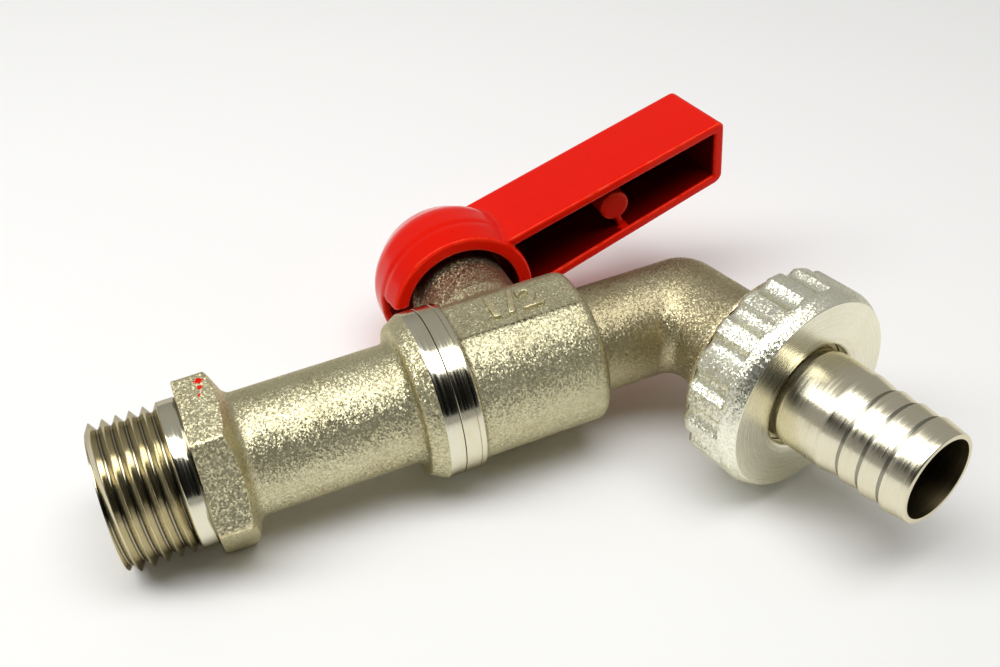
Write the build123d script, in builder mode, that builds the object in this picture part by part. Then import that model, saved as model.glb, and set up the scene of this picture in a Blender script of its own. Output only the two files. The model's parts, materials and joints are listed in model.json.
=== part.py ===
"""Lever bib tap with a screwed hose union, every piece in its installed place.

The row frame has its origin on the inlet axis at the spanner collar, +X along the flow through the
barrel and +Z up the lever's stem. The lever stands a little short of fully open, as photographed.
All lengths are in millimetres and all angles in degrees.
"""

import os
from math import cos, radians, sin, sqrt, tan

from build123d import *

# Clearances
STEM_CLEARANCE = 0.05
SEAT_CLEARANCE = 0.10
THREAD_CLEARANCE = 0.05
DRIVE_CLEARANCE = 0.05
FACE_GAP = 0.20
STOP_CLEARANCE = 0.35

# Inlet: a half-inch pipe thread, a spanner collar and a cast shank with a flange
THREAD_R = 20.955 / 2
THREAD_LENGTH = 12.4
THREAD_CHAMFER = 0.7
COLLAR_FLATS = 22.4
COLLAR_LENGTH = 4.4
COLLAR_TURN = 34
COLLAR_BEVEL = 1.5
COLLAR_BEVEL_FOOT_R = 9.6
SHANK_R = 8.8
FLANGE_R = 12.25
FLANGE_LAND = 2.2
FLANGE_BEVEL = 2.4
FLANGE_BEVEL_PART = 0.377
FLANGE_ROOT_PART = 0.406
SEAM_X = 34.4
SEAM_BEVEL = 0.15

# Barrel, neck and elbow
BAND_LENGTH = 3.1
BARREL_R = 11.3
BARREL_END_X = 57.2
BARREL_ROUND = 2.7
PAD_STAND = 0.95
FLAT_Y = 10.6
FLAT_FOOT_Z = -3.5
FLAT_TOP_Z = 4.6
PAD_TOP_Z = 10.7
PAD_TOP_HALF = 5.4
NECK_R = 8.05
ELBOW_X = 73.9
OUTLET_DROP = 75.5
WATERWAY_R = 5.2

# Ball, seats and stem
STEM_X = 45.7
BALL_R = 8.6
SEAT_R = 8.2
SEAT_BACK = 7.9
SEAT_FRONT = 4.6
CAVITY_R = 9.1
JOINT_R = 9.6
BOSS_R = 7.7
BOSS_TOP_Z = 20.6
STEM_R = 4.0
STEM_SHOULDER_R = 5.6
STEM_SHOULDER_Z = 8.8
STEM_SHOULDER_LENGTH = 1.5
THRUST_WASHER = 0.5
TANG_WIDTH = 4.0
TANG_DEPTH = 2.8
SEAL_GROOVE_R = 3.0
SEAL_HEIGHT = 1.7
SEAL_CENTRES_Z = (14.2, 17.6)

# Lever: a hollow die-cast arm on a skirted hub
LEVER_SWING = -16.5
OPEN_TO_CLOSED = 90
RIM_Z = 17.5
RIM_R = 11.45
SKIRT_BORE_R = 9.3
SKIRT_STEP_Z = 21.4
SKIRT_STEP = 0.35
SKIRT_DRAFT = 0.35
HUB_R = 12.2
HUB_TOP_R = 9.2
HUB_TOP_Z = 32.0
HUB_TOP_ROUND = 2.0
HUB_CEILING_Z = 21.9
RECESS_DEPTH = 5.4
NUT_RECESS_R = 6.4
SQUARE = 5.6
ARM_BASE_Z = 17.9
ARM_TOP_DROP = 0.4
ARM_WIDTH = 12.5
ARM_TIP_WIDTH = 10.4
ARM_LENGTH = 47.7
ARM_TIP_SKEW = 16.5
ARM_TIP_LEAN = 6
ARM_WALL = 1.5
ARM_CORNER = 1.2
ARM_EDGE = 0.8
CHANNEL_BOSS_AT = 28.3
CHANNEL_BOSS_R = 2.45
CHANNEL_BOSS_Z = 19.4
CHANNEL_RIB = 1.0
TOOTH_ANGLE = 109
TOOTH_WIDTH = 3.0
TOOTH_R = 11.0

# Handle fixing: a five-millimetre stud with a washer and a nut
STUD_R = 2.5
HANDLE_WASHER_R = 5.4
HANDLE_WASHER = 1.0
HANDLE_NUT_FLATS = 8.0
HANDLE_NUT = 3.3

# Union: distances run down the outlet axis from the elbow's centre
UNION_R = 26.441 / 2
SPIGOT_ROOT = 13.0
SPIGOT_START = 15.6
NUT_REAR = 16.3
NUT_FRONT = 25.7
NUT_R = 15.3
NUT_FACE_R = 14.4
NUT_FACE_BEVEL = 1.6
NUT_REAR_ROUND = 1.0
NUT_RIM_ROUND = 3.4
NUT_WALL = 1.6
NUT_HOLE_R = 7.9
FLUTES = 18
FLUTE_PHASE = 6
FLUTE_R = 1.9
FLUTE_DEPTH = 0.8
FLUTE_END = 23.2
TAIL_FLANGE_R = 12.4
TAIL_FLANGE = 1.8
UNION_WASHER = 2.0
TAIL_R = 7.35
TAIL_RELIEF_R = 7.1
TAIL_RELIEF_END = 26.2
TAIL_PLAIN_END = 33.0
BARB_STARTS = (36.6, 39.8, 43.1)
BARB_CREST_R = 7.15
BARB_ROOT_R = 6.65
TAIL_END = 46.6
TAIL_END_ROUND = 0.2
TAIL_BORE_R = 5.9

# Places that several pieces share
FLANGE_EDGE_X = SEAM_X - FLANGE_LAND
FLANGE_STAND = FLANGE_R - SHANK_R
BAND_END_X = SEAM_X + BAND_LENGTH
ENVELOPE_R = BARREL_R + PAD_STAND
SEAT_INLET_X = STEM_X - SEAT_BACK
SEAT_OUTLET_X = STEM_X + SEAT_BACK
SEAT_CONE = (BALL_R + SEAT_CLEARANCE) * sqrt(2)
JOINT_END_X = STEM_X - STEM_SHOULDER_R - FACE_GAP
STEM_SHAFT_Z = STEM_SHOULDER_Z + STEM_SHOULDER_LENGTH
STEM_CEILING_Z = STEM_SHAFT_Z + THRUST_WASHER + SEAT_CLEARANCE
TANG_LENGTH = 2 * sqrt((SEAT_FRONT - SEAT_CLEARANCE) ** 2 - TANG_WIDTH**2 / 4)
ARM_TOP_Z = HUB_TOP_Z - ARM_TOP_DROP
ARM_TAPER = (ARM_WIDTH - ARM_TIP_WIDTH) / 2 / ARM_LENGTH
HUB_SEAT_Z = HUB_TOP_Z - RECESS_DEPTH
HUB_WEB = HUB_SEAT_Z - HUB_CEILING_Z
HANDLE_NUT_Z = HUB_SEAT_Z + HANDLE_WASHER
SLOT_R = HUB_R + SKIRT_STEP
TAIL_BACK = NUT_FRONT - NUT_WALL - FACE_GAP - TAIL_FLANGE
SPIGOT_END = TAIL_BACK - UNION_WASHER - FACE_GAP

OUTLET_DIR = Vector(cos(radians(OUTLET_DROP)), 0, -sin(radians(OUTLET_DROP)))
ELBOW = Vector(ELBOW_X, 0, 0)
OUTLET_AXIS = Axis(ELBOW, OUTLET_DIR)
OUTLET_SECTION = Plane(ELBOW, x_dir=OUTLET_DIR, z_dir=(0, 1, 0))
OUTLET_FACE = Plane(ELBOW, x_dir=(0, 1, 0), z_dir=OUTLET_DIR)
STEM_AXIS = Axis((STEM_X, 0, 0), (0, 0, 1))
STEM_SECTION = Plane((STEM_X, 0, 0), x_dir=(1, 0, 0), z_dir=(0, -1, 0))
LEVER_FACE = Plane((STEM_X, 0, 0), x_dir=(cos(radians(LEVER_SWING)), sin(radians(LEVER_SWING)), 0))
BALL_AXIS = Axis((STEM_X, 0, 0), LEVER_FACE.x_dir)
BALL_SECTION = Plane((STEM_X, 0, 0), x_dir=LEVER_FACE.x_dir, z_dir=LEVER_FACE.y_dir)


def arm_corners(inset, height):
    """Plan of the arm at one height, or of its channel when set in by a wall: its tip is skewed and leans."""
    half = ARM_WIDTH / 2 - inset
    skew = tan(radians(ARM_TIP_SKEW))
    tip = ARM_LENGTH - inset / cos(radians(ARM_TIP_SKEW)) - (height - ARM_BASE_Z) * tan(radians(ARM_TIP_LEAN))
    long_side = (tip + skew * half) / (1 + skew * ARM_TAPER)
    short_side = (tip - skew * half) / (1 - skew * ARM_TAPER)
    return (
        (0, -half),
        (long_side, ARM_TAPER * long_side - half),
        (short_side, half - ARM_TAPER * short_side),
        (0, half),
    )


# Inlet shank: one turned and cast piece from the thread to the flange and the screwed joint
with BuildPart() as inlet_shank:
    with BuildSketch(Plane.XZ) as shank_profile:
        with BuildLine():
            Polyline(
                (-THREAD_LENGTH, WATERWAY_R),
                (-THREAD_LENGTH, THREAD_R - THREAD_CHAMFER),
                (THREAD_CHAMFER - THREAD_LENGTH, THREAD_R),
                (0, THREAD_R),
                (0, SHANK_R),
                (FLANGE_EDGE_X - FLANGE_BEVEL, SHANK_R),
                (FLANGE_EDGE_X - FLANGE_BEVEL, FLANGE_R - FLANGE_STAND * FLANGE_BEVEL_PART),
                (FLANGE_EDGE_X, FLANGE_R),
                (SEAM_X - SEAM_BEVEL, FLANGE_R),
                (SEAM_X, FLANGE_R - SEAM_BEVEL),
                (SEAM_X, JOINT_R),
                (JOINT_END_X, JOINT_R),
                (JOINT_END_X, SEAT_R),
                (SEAT_INLET_X, SEAT_R),
                (SEAT_INLET_X, WATERWAY_R),
                close=True,
            )
        make_face()
        flange_root = (FLANGE_EDGE_X - FLANGE_BEVEL, SHANK_R)
        fillet(shank_profile.vertices().sort_by_distance(flange_root)[0], FLANGE_STAND * FLANGE_ROOT_PART)
    revolve(axis=Axis.X)
    with BuildSketch(Plane.YZ):
        RegularPolygon(COLLAR_FLATS / 2, 6, major_radius=False, rotation=COLLAR_TURN)
        Circle(WATERWAY_R, mode=Mode.SUBTRACT)
    extrude(amount=COLLAR_LENGTH + COLLAR_BEVEL)
    with BuildSketch(Plane.XZ):
        collar_corner = COLLAR_FLATS / sqrt(3)
        with BuildLine():
            Polyline(
                (COLLAR_LENGTH, collar_corner),
                (COLLAR_LENGTH + COLLAR_BEVEL, collar_corner),
                (COLLAR_LENGTH + COLLAR_BEVEL, COLLAR_BEVEL_FOOT_R),
                close=True,
            )
        make_face()
    revolve(axis=Axis.X, mode=Mode.SUBTRACT)
inlet_shank.part.label = "inlet_shank"

# Valve body: barrel with side flats, stem boss, neck, elbow and the union's spigot
with BuildPart() as valve_body:
    with BuildSketch(Plane.YZ.offset(BAND_END_X)):
        Circle(BARREL_R)
        with BuildLine():
            Polyline(
                (-FLAT_Y, 0),
                (-FLAT_Y, FLAT_TOP_Z),
                (-PAD_TOP_HALF, PAD_TOP_Z),
                (PAD_TOP_HALF, PAD_TOP_Z),
                (FLAT_Y, FLAT_TOP_Z),
                (FLAT_Y, 0),
                close=True,
            )
        make_face()
        with Locations((-FLAT_Y, FLAT_FOOT_Z)):
            Rectangle(BARREL_R, BARREL_R, align=(Align.MAX, Align.MIN), mode=Mode.SUBTRACT)
        with Locations((FLAT_Y, FLAT_FOOT_Z)):
            Rectangle(BARREL_R, BARREL_R, align=(Align.MIN, Align.MIN), mode=Mode.SUBTRACT)
    extrude(amount=BARREL_END_X - BAND_END_X)
    with BuildSketch(Plane.XZ) as envelope:
        with BuildLine():
            Polyline(
                (BAND_END_X, 0),
                (BAND_END_X, ENVELOPE_R),
                (BARREL_END_X, ENVELOPE_R),
                (BARREL_END_X, 0),
                close=True,
            )
        make_face()
        fillet(envelope.vertices().sort_by_distance((BARREL_END_X, ENVELOPE_R))[0], BARREL_ROUND)
    revolve(axis=Axis.X, mode=Mode.INTERSECT)
    with BuildSketch(Plane.XZ):
        with BuildLine():
            Polyline(
                (SEAM_X, 0),
                (SEAM_X, FLANGE_R - SEAM_BEVEL),
                (SEAM_X + SEAM_BEVEL, FLANGE_R),
                (BAND_END_X, FLANGE_R),
                (BAND_END_X, NECK_R),
                (ELBOW_X, NECK_R),
                (ELBOW_X, 0),
                close=True,
            )
        make_face()
    revolve(axis=Axis.X)
    with Locations(ELBOW):
        Sphere(NECK_R)
    with BuildSketch(OUTLET_SECTION):
        with BuildLine():
            Polyline(
                (0, 0),
                (0, NECK_R),
                (SPIGOT_ROOT, NECK_R),
                (SPIGOT_START, UNION_R),
                (SPIGOT_END, UNION_R),
                (SPIGOT_END, 0),
                close=True,
            )
        make_face()
    revolve(axis=OUTLET_AXIS)
    with BuildSketch(STEM_SECTION):
        with BuildLine():
            Polyline((0, 0), (BOSS_R, 0), (BOSS_R, BOSS_TOP_Z), (0, BOSS_TOP_Z), close=True)
        make_face()
    revolve(axis=STEM_AXIS)
    with BuildSketch(Plane((STEM_X, 0, ARM_BASE_Z))):
        with PolarLocations(0, 1, start_angle=TOOTH_ANGLE):
            Rectangle(TOOTH_R, TOOTH_WIDTH, align=(Align.MIN, Align.CENTER))
    extrude(amount=BOSS_TOP_Z - ARM_BASE_Z)
    with BuildSketch(Plane.XZ):
        with BuildLine():
            Polyline(
                (SEAM_X, 0),
                (SEAM_X, JOINT_R + THREAD_CLEARANCE),
                (JOINT_END_X + FACE_GAP, JOINT_R + THREAD_CLEARANCE),
                (JOINT_END_X + FACE_GAP, CAVITY_R),
                (STEM_X + SEAT_FRONT, CAVITY_R),
                (STEM_X + SEAT_FRONT, SEAT_R),
                (SEAT_OUTLET_X, SEAT_R),
                (SEAT_OUTLET_X, WATERWAY_R),
                (ELBOW_X, WATERWAY_R),
                (ELBOW_X, 0),
                close=True,
            )
        make_face()
    revolve(axis=Axis.X, mode=Mode.SUBTRACT)
    with Locations(ELBOW):
        Sphere(WATERWAY_R, mode=Mode.SUBTRACT)
    with BuildSketch(OUTLET_FACE):
        Circle(WATERWAY_R)
    extrude(amount=SPIGOT_END, mode=Mode.SUBTRACT)
    with BuildSketch(Plane((STEM_X, 0, 0))):
        Circle(STEM_SHOULDER_R + STEM_CLEARANCE)
    extrude(amount=STEM_CEILING_Z, mode=Mode.SUBTRACT)
    with BuildSketch(Plane((STEM_X, 0, 0))):
        Circle(STEM_R + STEM_CLEARANCE)
    extrude(amount=BOSS_TOP_Z, mode=Mode.SUBTRACT)
valve_body.part.label = "valve_body"

# Seats: two soft rings, each coned at half a right angle to bear on the ball
with BuildPart() as seat_inlet:
    with BuildSketch(Plane.XZ):
        with BuildLine():
            Polyline(
                (STEM_X - SEAT_BACK, WATERWAY_R),
                (STEM_X - SEAT_BACK, SEAT_R),
                (STEM_X - SEAT_FRONT, SEAT_R),
                (STEM_X - SEAT_FRONT, SEAT_CONE - SEAT_FRONT),
                (STEM_X - SEAT_CONE + WATERWAY_R, WATERWAY_R),
                close=True,
            )
        make_face()
    revolve(axis=Axis.X)
seat_inlet.part.label = "seat_inlet"

with BuildPart() as seat_outlet:
    mirror(seat_inlet.part, about=Plane.YZ.offset(STEM_X))
seat_outlet.part.label = "seat_outlet"

# Ball: bored along the lever, with a slot across its top for the stem's tang
with BuildPart() as ball:
    bore_reach = sqrt(BALL_R**2 - WATERWAY_R**2)
    with BuildSketch(BALL_SECTION):
        with BuildLine():
            ThreePointArc((-bore_reach, WATERWAY_R), (0, BALL_R), (bore_reach, WATERWAY_R))
            Line((bore_reach, WATERWAY_R), (-bore_reach, WATERWAY_R))
        make_face()
    revolve(axis=BALL_AXIS)
    with BuildSketch(LEVER_FACE.offset(STEM_SHOULDER_Z - TANG_DEPTH - DRIVE_CLEARANCE)):
        Rectangle(TANG_WIDTH + 2 * DRIVE_CLEARANCE, 2 * BALL_R)
    extrude(amount=BALL_R, mode=Mode.SUBTRACT)
ball.part.label = "ball"

# Stem: tang, blow-out shoulder, sealed shaft, square drive and threaded stud
with BuildPart() as stem:
    with BuildSketch(LEVER_FACE.offset(STEM_SHOULDER_Z - TANG_DEPTH)):
        Rectangle(TANG_WIDTH, TANG_LENGTH)
    extrude(amount=TANG_DEPTH)
    with BuildSketch(LEVER_FACE.offset(STEM_SHOULDER_Z)):
        Circle(STEM_SHOULDER_R)
    extrude(amount=STEM_SHOULDER_LENGTH)
    with BuildSketch(LEVER_FACE.offset(STEM_SHAFT_Z)):
        Circle(STEM_R)
    extrude(amount=HUB_CEILING_Z - FACE_GAP - STEM_SHAFT_Z)
    with BuildSketch(LEVER_FACE.offset(HUB_CEILING_Z - FACE_GAP)):
        Rectangle(SQUARE, SQUARE)
    extrude(amount=HUB_WEB)
    with BuildSketch(LEVER_FACE.offset(HUB_SEAT_Z - FACE_GAP)):
        Circle(STUD_R)
    extrude(amount=HUB_TOP_Z - HUB_SEAT_Z)
    for centre_z in SEAL_CENTRES_Z:
        with BuildSketch(LEVER_FACE.offset(centre_z - SEAL_HEIGHT / 2)):
            Circle(STEM_SHOULDER_R)
            Circle(SEAL_GROOVE_R, mode=Mode.SUBTRACT)
        extrude(amount=SEAL_HEIGHT, mode=Mode.SUBTRACT)
stem.part.label = "stem"

# Thrust washer and shaft seals ride on the stem
with BuildPart() as thrust_washer:
    with BuildSketch(LEVER_FACE.offset(STEM_SHAFT_Z)):
        Circle(STEM_SHOULDER_R)
        Circle(STEM_R + STEM_CLEARANCE, mode=Mode.SUBTRACT)
    extrude(amount=THRUST_WASHER)
thrust_washer.part.label = "thrust_washer"

with BuildPart() as seal_lower:
    with BuildSketch(LEVER_FACE.offset(SEAL_CENTRES_Z[0] - SEAL_HEIGHT / 2)):
        Circle(STEM_R + STEM_CLEARANCE / 2)
        Circle(SEAL_GROOVE_R, mode=Mode.SUBTRACT)
    extrude(amount=SEAL_HEIGHT)
seal_lower.part.label = "seal_lower"

with BuildPart() as seal_upper:
    with BuildSketch(LEVER_FACE.offset(SEAL_CENTRES_Z[1] - SEAL_HEIGHT / 2)):
        Circle(STEM_R + STEM_CLEARANCE / 2)
        Circle(SEAL_GROOVE_R, mode=Mode.SUBTRACT)
    extrude(amount=SEAL_HEIGHT)
seal_upper.part.label = "seal_upper"

# Lever: hollow arm open below, skirted hub, stop slot, square drive and fixing recess
with BuildPart() as lever:
    for height in (ARM_BASE_Z, ARM_TOP_Z):
        with BuildSketch(LEVER_FACE.offset(height)):
            with BuildLine():
                Polyline(*arm_corners(0, height), close=True)
            make_face()
    loft(ruled=True)
    tip_face = lever.faces().sort_by(BALL_AXIS)[-1]
    fillet(tip_face.edges().group_by(Axis.Z)[1], ARM_CORNER)
    fillet(lever.faces().sort_by(Axis.Z)[-1].edges(), ARM_EDGE)
    for height in (ARM_BASE_Z, ARM_TOP_Z - ARM_WALL):
        with BuildSketch(LEVER_FACE.offset(height)):
            with BuildLine():
                Polyline(*arm_corners(ARM_WALL, height), close=True)
            make_face()
    loft(ruled=True, mode=Mode.SUBTRACT)
    with BuildSketch(LEVER_FACE.offset(CHANNEL_BOSS_Z)):
        with Locations((CHANNEL_BOSS_AT, 0)):
            Circle(CHANNEL_BOSS_R)
            Rectangle(CHANNEL_RIB, ARM_TIP_WIDTH / 2, align=(Align.CENTER, Align.MIN))
    extrude(amount=ARM_TOP_Z - ARM_WALL - CHANNEL_BOSS_Z)
    with BuildSketch(STEM_SECTION) as hub_profile:
        with BuildLine():
            Polyline(
                (0, RIM_Z),
                (RIM_R, RIM_Z),
                (RIM_R + SKIRT_DRAFT, SKIRT_STEP_Z),
                (HUB_R, SKIRT_STEP_Z + SKIRT_STEP),
            )
            ThreePointArc(
                (HUB_R, SKIRT_STEP_Z + SKIRT_STEP),
                (HUB_R - SKIRT_STEP, (SKIRT_STEP_Z + HUB_TOP_Z) / 2),
                (HUB_TOP_R, HUB_TOP_Z),
            )
            Polyline((HUB_TOP_R, HUB_TOP_Z), (0, HUB_TOP_Z), (0, RIM_Z))
        make_face()
        fillet(hub_profile.vertices().sort_by_distance((HUB_TOP_R, HUB_TOP_Z))[0], HUB_TOP_ROUND)
    revolve(axis=STEM_AXIS)
    with BuildSketch(LEVER_FACE.offset(RIM_Z)):
        Circle(SKIRT_BORE_R)
    extrude(amount=HUB_CEILING_Z - RIM_Z, mode=Mode.SUBTRACT)
    with BuildSketch(LEVER_FACE.offset(RIM_Z)):
        stop_play = STOP_CLEARANCE + TOOTH_WIDTH / 2
        with BuildLine():
            CenterArc((0, 0), SLOT_R, TOOTH_ANGLE, OPEN_TO_CLOSED)
            Line((0, 0), (SLOT_R * cos(radians(TOOTH_ANGLE)), SLOT_R * sin(radians(TOOTH_ANGLE))))
            closed_angle = radians(TOOTH_ANGLE + OPEN_TO_CLOSED)
            Line((0, 0), (SLOT_R * cos(closed_angle), SLOT_R * sin(closed_angle)))
        make_face()
        for end_angle in (TOOTH_ANGLE, TOOTH_ANGLE + OPEN_TO_CLOSED):
            with PolarLocations(0, 1, start_angle=end_angle):
                Rectangle(SLOT_R, 2 * stop_play, align=(Align.MIN, Align.CENTER))
    extrude(amount=HUB_CEILING_Z - RIM_Z, mode=Mode.SUBTRACT)
    with BuildSketch(LEVER_FACE.offset(HUB_CEILING_Z)):
        Rectangle(SQUARE + 2 * DRIVE_CLEARANCE, SQUARE + 2 * DRIVE_CLEARANCE)
    extrude(amount=HUB_WEB, mode=Mode.SUBTRACT)
    with BuildSketch(LEVER_FACE.offset(HUB_SEAT_Z)):
        Circle(NUT_RECESS_R)
    extrude(amount=HUB_TOP_Z - HUB_SEAT_Z, mode=Mode.SUBTRACT)
lever.part.label = "lever"

# Handle fixing on the stud
with BuildPart() as handle_washer:
    with BuildSketch(LEVER_FACE.offset(HUB_SEAT_Z)):
        Circle(HANDLE_WASHER_R)
        Circle(STUD_R + DRIVE_CLEARANCE, mode=Mode.SUBTRACT)
    extrude(amount=HANDLE_WASHER)
handle_washer.part.label = "handle_washer"

with BuildPart() as handle_nut:
    with BuildSketch(LEVER_FACE.offset(HANDLE_NUT_Z)):
        RegularPolygon(HANDLE_NUT_FLATS / 2, 6, major_radius=False)
        Circle(STUD_R + DRIVE_CLEARANCE, mode=Mode.SUBTRACT)
    extrude(amount=HANDLE_NUT)
handle_nut.part.label = "handle_nut"

# Union nut: fluted outside, with an inner lip that draws the tail up
with BuildPart() as union_nut:
    with BuildSketch(OUTLET_SECTION) as nut_profile:
        with BuildLine():
            Polyline(
                (NUT_REAR, UNION_R + THREAD_CLEARANCE),
                (NUT_REAR, NUT_R),
                (NUT_FRONT - NUT_FACE_BEVEL, NUT_R),
                (NUT_FRONT, NUT_FACE_R),
                (NUT_FRONT, NUT_HOLE_R),
                (NUT_FRONT - NUT_WALL, NUT_HOLE_R),
                (NUT_FRONT - NUT_WALL, UNION_R + THREAD_CLEARANCE),
                close=True,
            )
        make_face()
        fillet(nut_profile.vertices().sort_by_distance((NUT_REAR, NUT_R))[0], NUT_REAR_ROUND)
        rim_corner = (NUT_FRONT - NUT_FACE_BEVEL, NUT_R)
        fillet(nut_profile.vertices().sort_by_distance(rim_corner)[0], NUT_RIM_ROUND)
    revolve(axis=OUTLET_AXIS)
    with BuildSketch(OUTLET_FACE.offset(NUT_REAR)):
        with PolarLocations(NUT_R + FLUTE_R - FLUTE_DEPTH, FLUTES, start_angle=FLUTE_PHASE):
            Circle(FLUTE_R)
    extrude(amount=FLUTE_END - NUT_REAR, mode=Mode.SUBTRACT)
union_nut.part.label = "union_nut"

# Hose tail: flange, plain seat for the hose and three barbs
with BuildPart() as hose_tail:
    barb_points = []
    for start, end in zip(BARB_STARTS, (*BARB_STARTS[1:], TAIL_END)):
        barb_points += [(start, BARB_ROOT_R), (start, BARB_CREST_R), (end, BARB_ROOT_R)]
    with BuildSketch(OUTLET_SECTION) as tail_profile:
        with BuildLine():
            Polyline(
                (TAIL_BACK, TAIL_BORE_R),
                (TAIL_BACK, TAIL_FLANGE_R),
                (TAIL_BACK + TAIL_FLANGE, TAIL_FLANGE_R),
                (TAIL_BACK + TAIL_FLANGE, TAIL_RELIEF_R),
                (TAIL_RELIEF_END, TAIL_RELIEF_R),
                (TAIL_RELIEF_END, TAIL_R),
                (TAIL_PLAIN_END, TAIL_R),
                *dict.fromkeys(barb_points),
                (TAIL_END, TAIL_BORE_R),
                close=True,
            )
        make_face()
        fillet(tail_profile.vertices().sort_by_distance((TAIL_END, BARB_ROOT_R))[0], TAIL_END_ROUND)
    revolve(axis=OUTLET_AXIS)
hose_tail.part.label = "hose_tail"

# Union washer: seals the tail's flange on the spigot
with BuildPart() as union_washer:
    with BuildSketch(OUTLET_FACE.offset(TAIL_BACK - UNION_WASHER)):
        Circle(TAIL_FLANGE_R)
        Circle(TAIL_BORE_R, mode=Mode.SUBTRACT)
    extrude(amount=UNION_WASHER)
union_washer.part.label = "union_washer"

# Write one file for each piece
os.makedirs("parts", exist_ok=True)
PIECES = (
    inlet_shank,
    valve_body,
    seat_inlet,
    seat_outlet,
    ball,
    stem,
    thrust_washer,
    seal_lower,
    seal_upper,
    lever,
    handle_washer,
    handle_nut,
    union_nut,
    hose_tail,
    union_washer,
)
for piece in PIECES:
    export_step(piece.part, f"parts/{piece.part.label}.step")
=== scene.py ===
"""Looks of a lever bib tap with a screwed hose union: skins, finishes, floor, light and camera."""

import json
import math

import bmesh
import bpy
import numpy as np
from mathutils import Matrix, Vector

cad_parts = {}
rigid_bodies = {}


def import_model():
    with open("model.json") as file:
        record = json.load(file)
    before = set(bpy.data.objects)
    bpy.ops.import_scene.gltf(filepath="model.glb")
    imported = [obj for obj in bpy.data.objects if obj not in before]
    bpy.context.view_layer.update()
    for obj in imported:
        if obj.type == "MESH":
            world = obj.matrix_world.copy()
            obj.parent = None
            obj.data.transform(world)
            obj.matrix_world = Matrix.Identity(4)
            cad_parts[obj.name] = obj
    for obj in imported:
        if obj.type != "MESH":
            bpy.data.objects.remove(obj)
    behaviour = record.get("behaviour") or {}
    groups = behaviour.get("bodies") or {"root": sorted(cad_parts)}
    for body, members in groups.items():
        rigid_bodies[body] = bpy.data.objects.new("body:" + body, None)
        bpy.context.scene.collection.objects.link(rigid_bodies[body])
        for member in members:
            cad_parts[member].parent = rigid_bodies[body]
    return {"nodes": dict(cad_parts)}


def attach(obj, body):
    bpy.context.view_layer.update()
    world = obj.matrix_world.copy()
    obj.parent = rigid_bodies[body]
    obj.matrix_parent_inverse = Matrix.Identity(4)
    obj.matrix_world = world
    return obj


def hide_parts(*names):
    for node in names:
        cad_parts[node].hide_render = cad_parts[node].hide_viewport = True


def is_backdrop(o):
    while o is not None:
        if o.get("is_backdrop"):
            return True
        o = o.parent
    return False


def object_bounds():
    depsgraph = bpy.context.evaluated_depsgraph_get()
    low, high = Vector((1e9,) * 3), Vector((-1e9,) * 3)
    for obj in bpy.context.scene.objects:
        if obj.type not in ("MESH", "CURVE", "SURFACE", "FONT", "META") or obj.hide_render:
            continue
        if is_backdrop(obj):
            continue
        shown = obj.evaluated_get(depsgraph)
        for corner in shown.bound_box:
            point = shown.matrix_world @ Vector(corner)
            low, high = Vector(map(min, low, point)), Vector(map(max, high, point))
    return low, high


bl_info = {
    "name": "Lever bib tap",
    "version": (1, 0, 0),
    "blender": (4, 5, 0),
    "location": "3D View > Sidebar > Bib tap",
    "description": "Dresses the packed solids of a lever bib tap with a hose union",
    "category": "Object",
}

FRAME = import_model()
CAD_LOW, CAD_HIGH = (Vector(corner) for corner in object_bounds())
MM = 0.001

# Places of the three turning axes in the row frame, each with its own Z along the axis
ELBOW_X = 73.9
OUTLET_DROP = math.radians(75.5)
STEM_X = 45.7
LEVER_SWING = math.radians(-16.5)
OUTLET = Vector((math.cos(OUTLET_DROP), 0, -math.sin(OUTLET_DROP)))


def facing(place, along, across):
    """Matrix of a frame whose Z runs along one direction and whose X lies across it."""
    z, x = Vector(along).normalized(), Vector(across)
    x = (x - z * x.dot(z)).normalized()
    return Matrix.Translation(Vector(place)) @ Matrix((x, z.cross(x), z)).transposed().to_4x4()


INLET_FRAME = facing((0, 0, 0), (1, 0, 0), (0, 1, 0))
OUTLET_FRAME = facing((ELBOW_X * MM, 0, 0), OUTLET, (0, 1, 0))
LEVER_FRAME = facing((STEM_X * MM, 0, 0), (0, 0, 1), (math.cos(LEVER_SWING), math.sin(LEVER_SWING), 0))

# Sizes of the solids, in millimetres, which the skins repeat
THREAD_R, PITCH, THREAD_DEPTH = 10.4775, 1.814, 1.162
THREAD_START, THREAD_CHAMFER, RUN_OUT = -12.4, 0.7, -2.2
COLLAR_FLATS, COLLAR_TURN, COLLAR_X, COLLAR_END_X = 22.4, math.radians(34), 4.4, 5.9
SHANK_R, FLANGE_R, FLANGE_FOOT_X, FLANGE_EDGE_X, FLANGE_ROOT = 8.8, 12.25, 29.8, 32.2, 1.4
SEAM_X, BARREL_X, BARREL_END_X, SEAT_FACE_X, JOINT_END_X = 34.4, 37.5, 57.2, 37.8, 39.9
BARREL_R, NECK_R, BOSS_R, BOSS_TOP = 11.3, 8.05, 7.7, 20.6
FLAT_Y, FLAT_FOOT, FLAT_TOP, PAD_TOP, PAD_TOP_HALF = 10.6, -3.5, 4.6, 10.7, 5.4
WATERWAY_R, SEAT_R, JOINT_R, CAVITY_R = 5.2, 8.2, 9.6, 9.1
TOOTH_ANGLE, TOOTH_R, TOOTH_HALF = math.radians(109), 11.0, 1.5
RIM_Z, RIM_R, SKIRT_BORE_R, CEILING_Z = 17.5, 11.45, 9.3, 21.9
HUB_R, HUB_RIDGE_Z, HUB_TOP_R, HUB_TOP = 12.2, 26.6, 9.2, 32.0
ARM_LENGTH, ARM_WIDTH, ARM_TIP, ARM_BASE, ARM_TOP, ARM_WALL = 47.7, 12.5, 10.4, 17.9, 31.6, 1.5
ARM_TAPER = (ARM_WIDTH - ARM_TIP) / 2 / ARM_LENGTH
ARM_SKEW, ARM_LEAN = math.tan(math.radians(16.5)), math.tan(math.radians(6))
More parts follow.
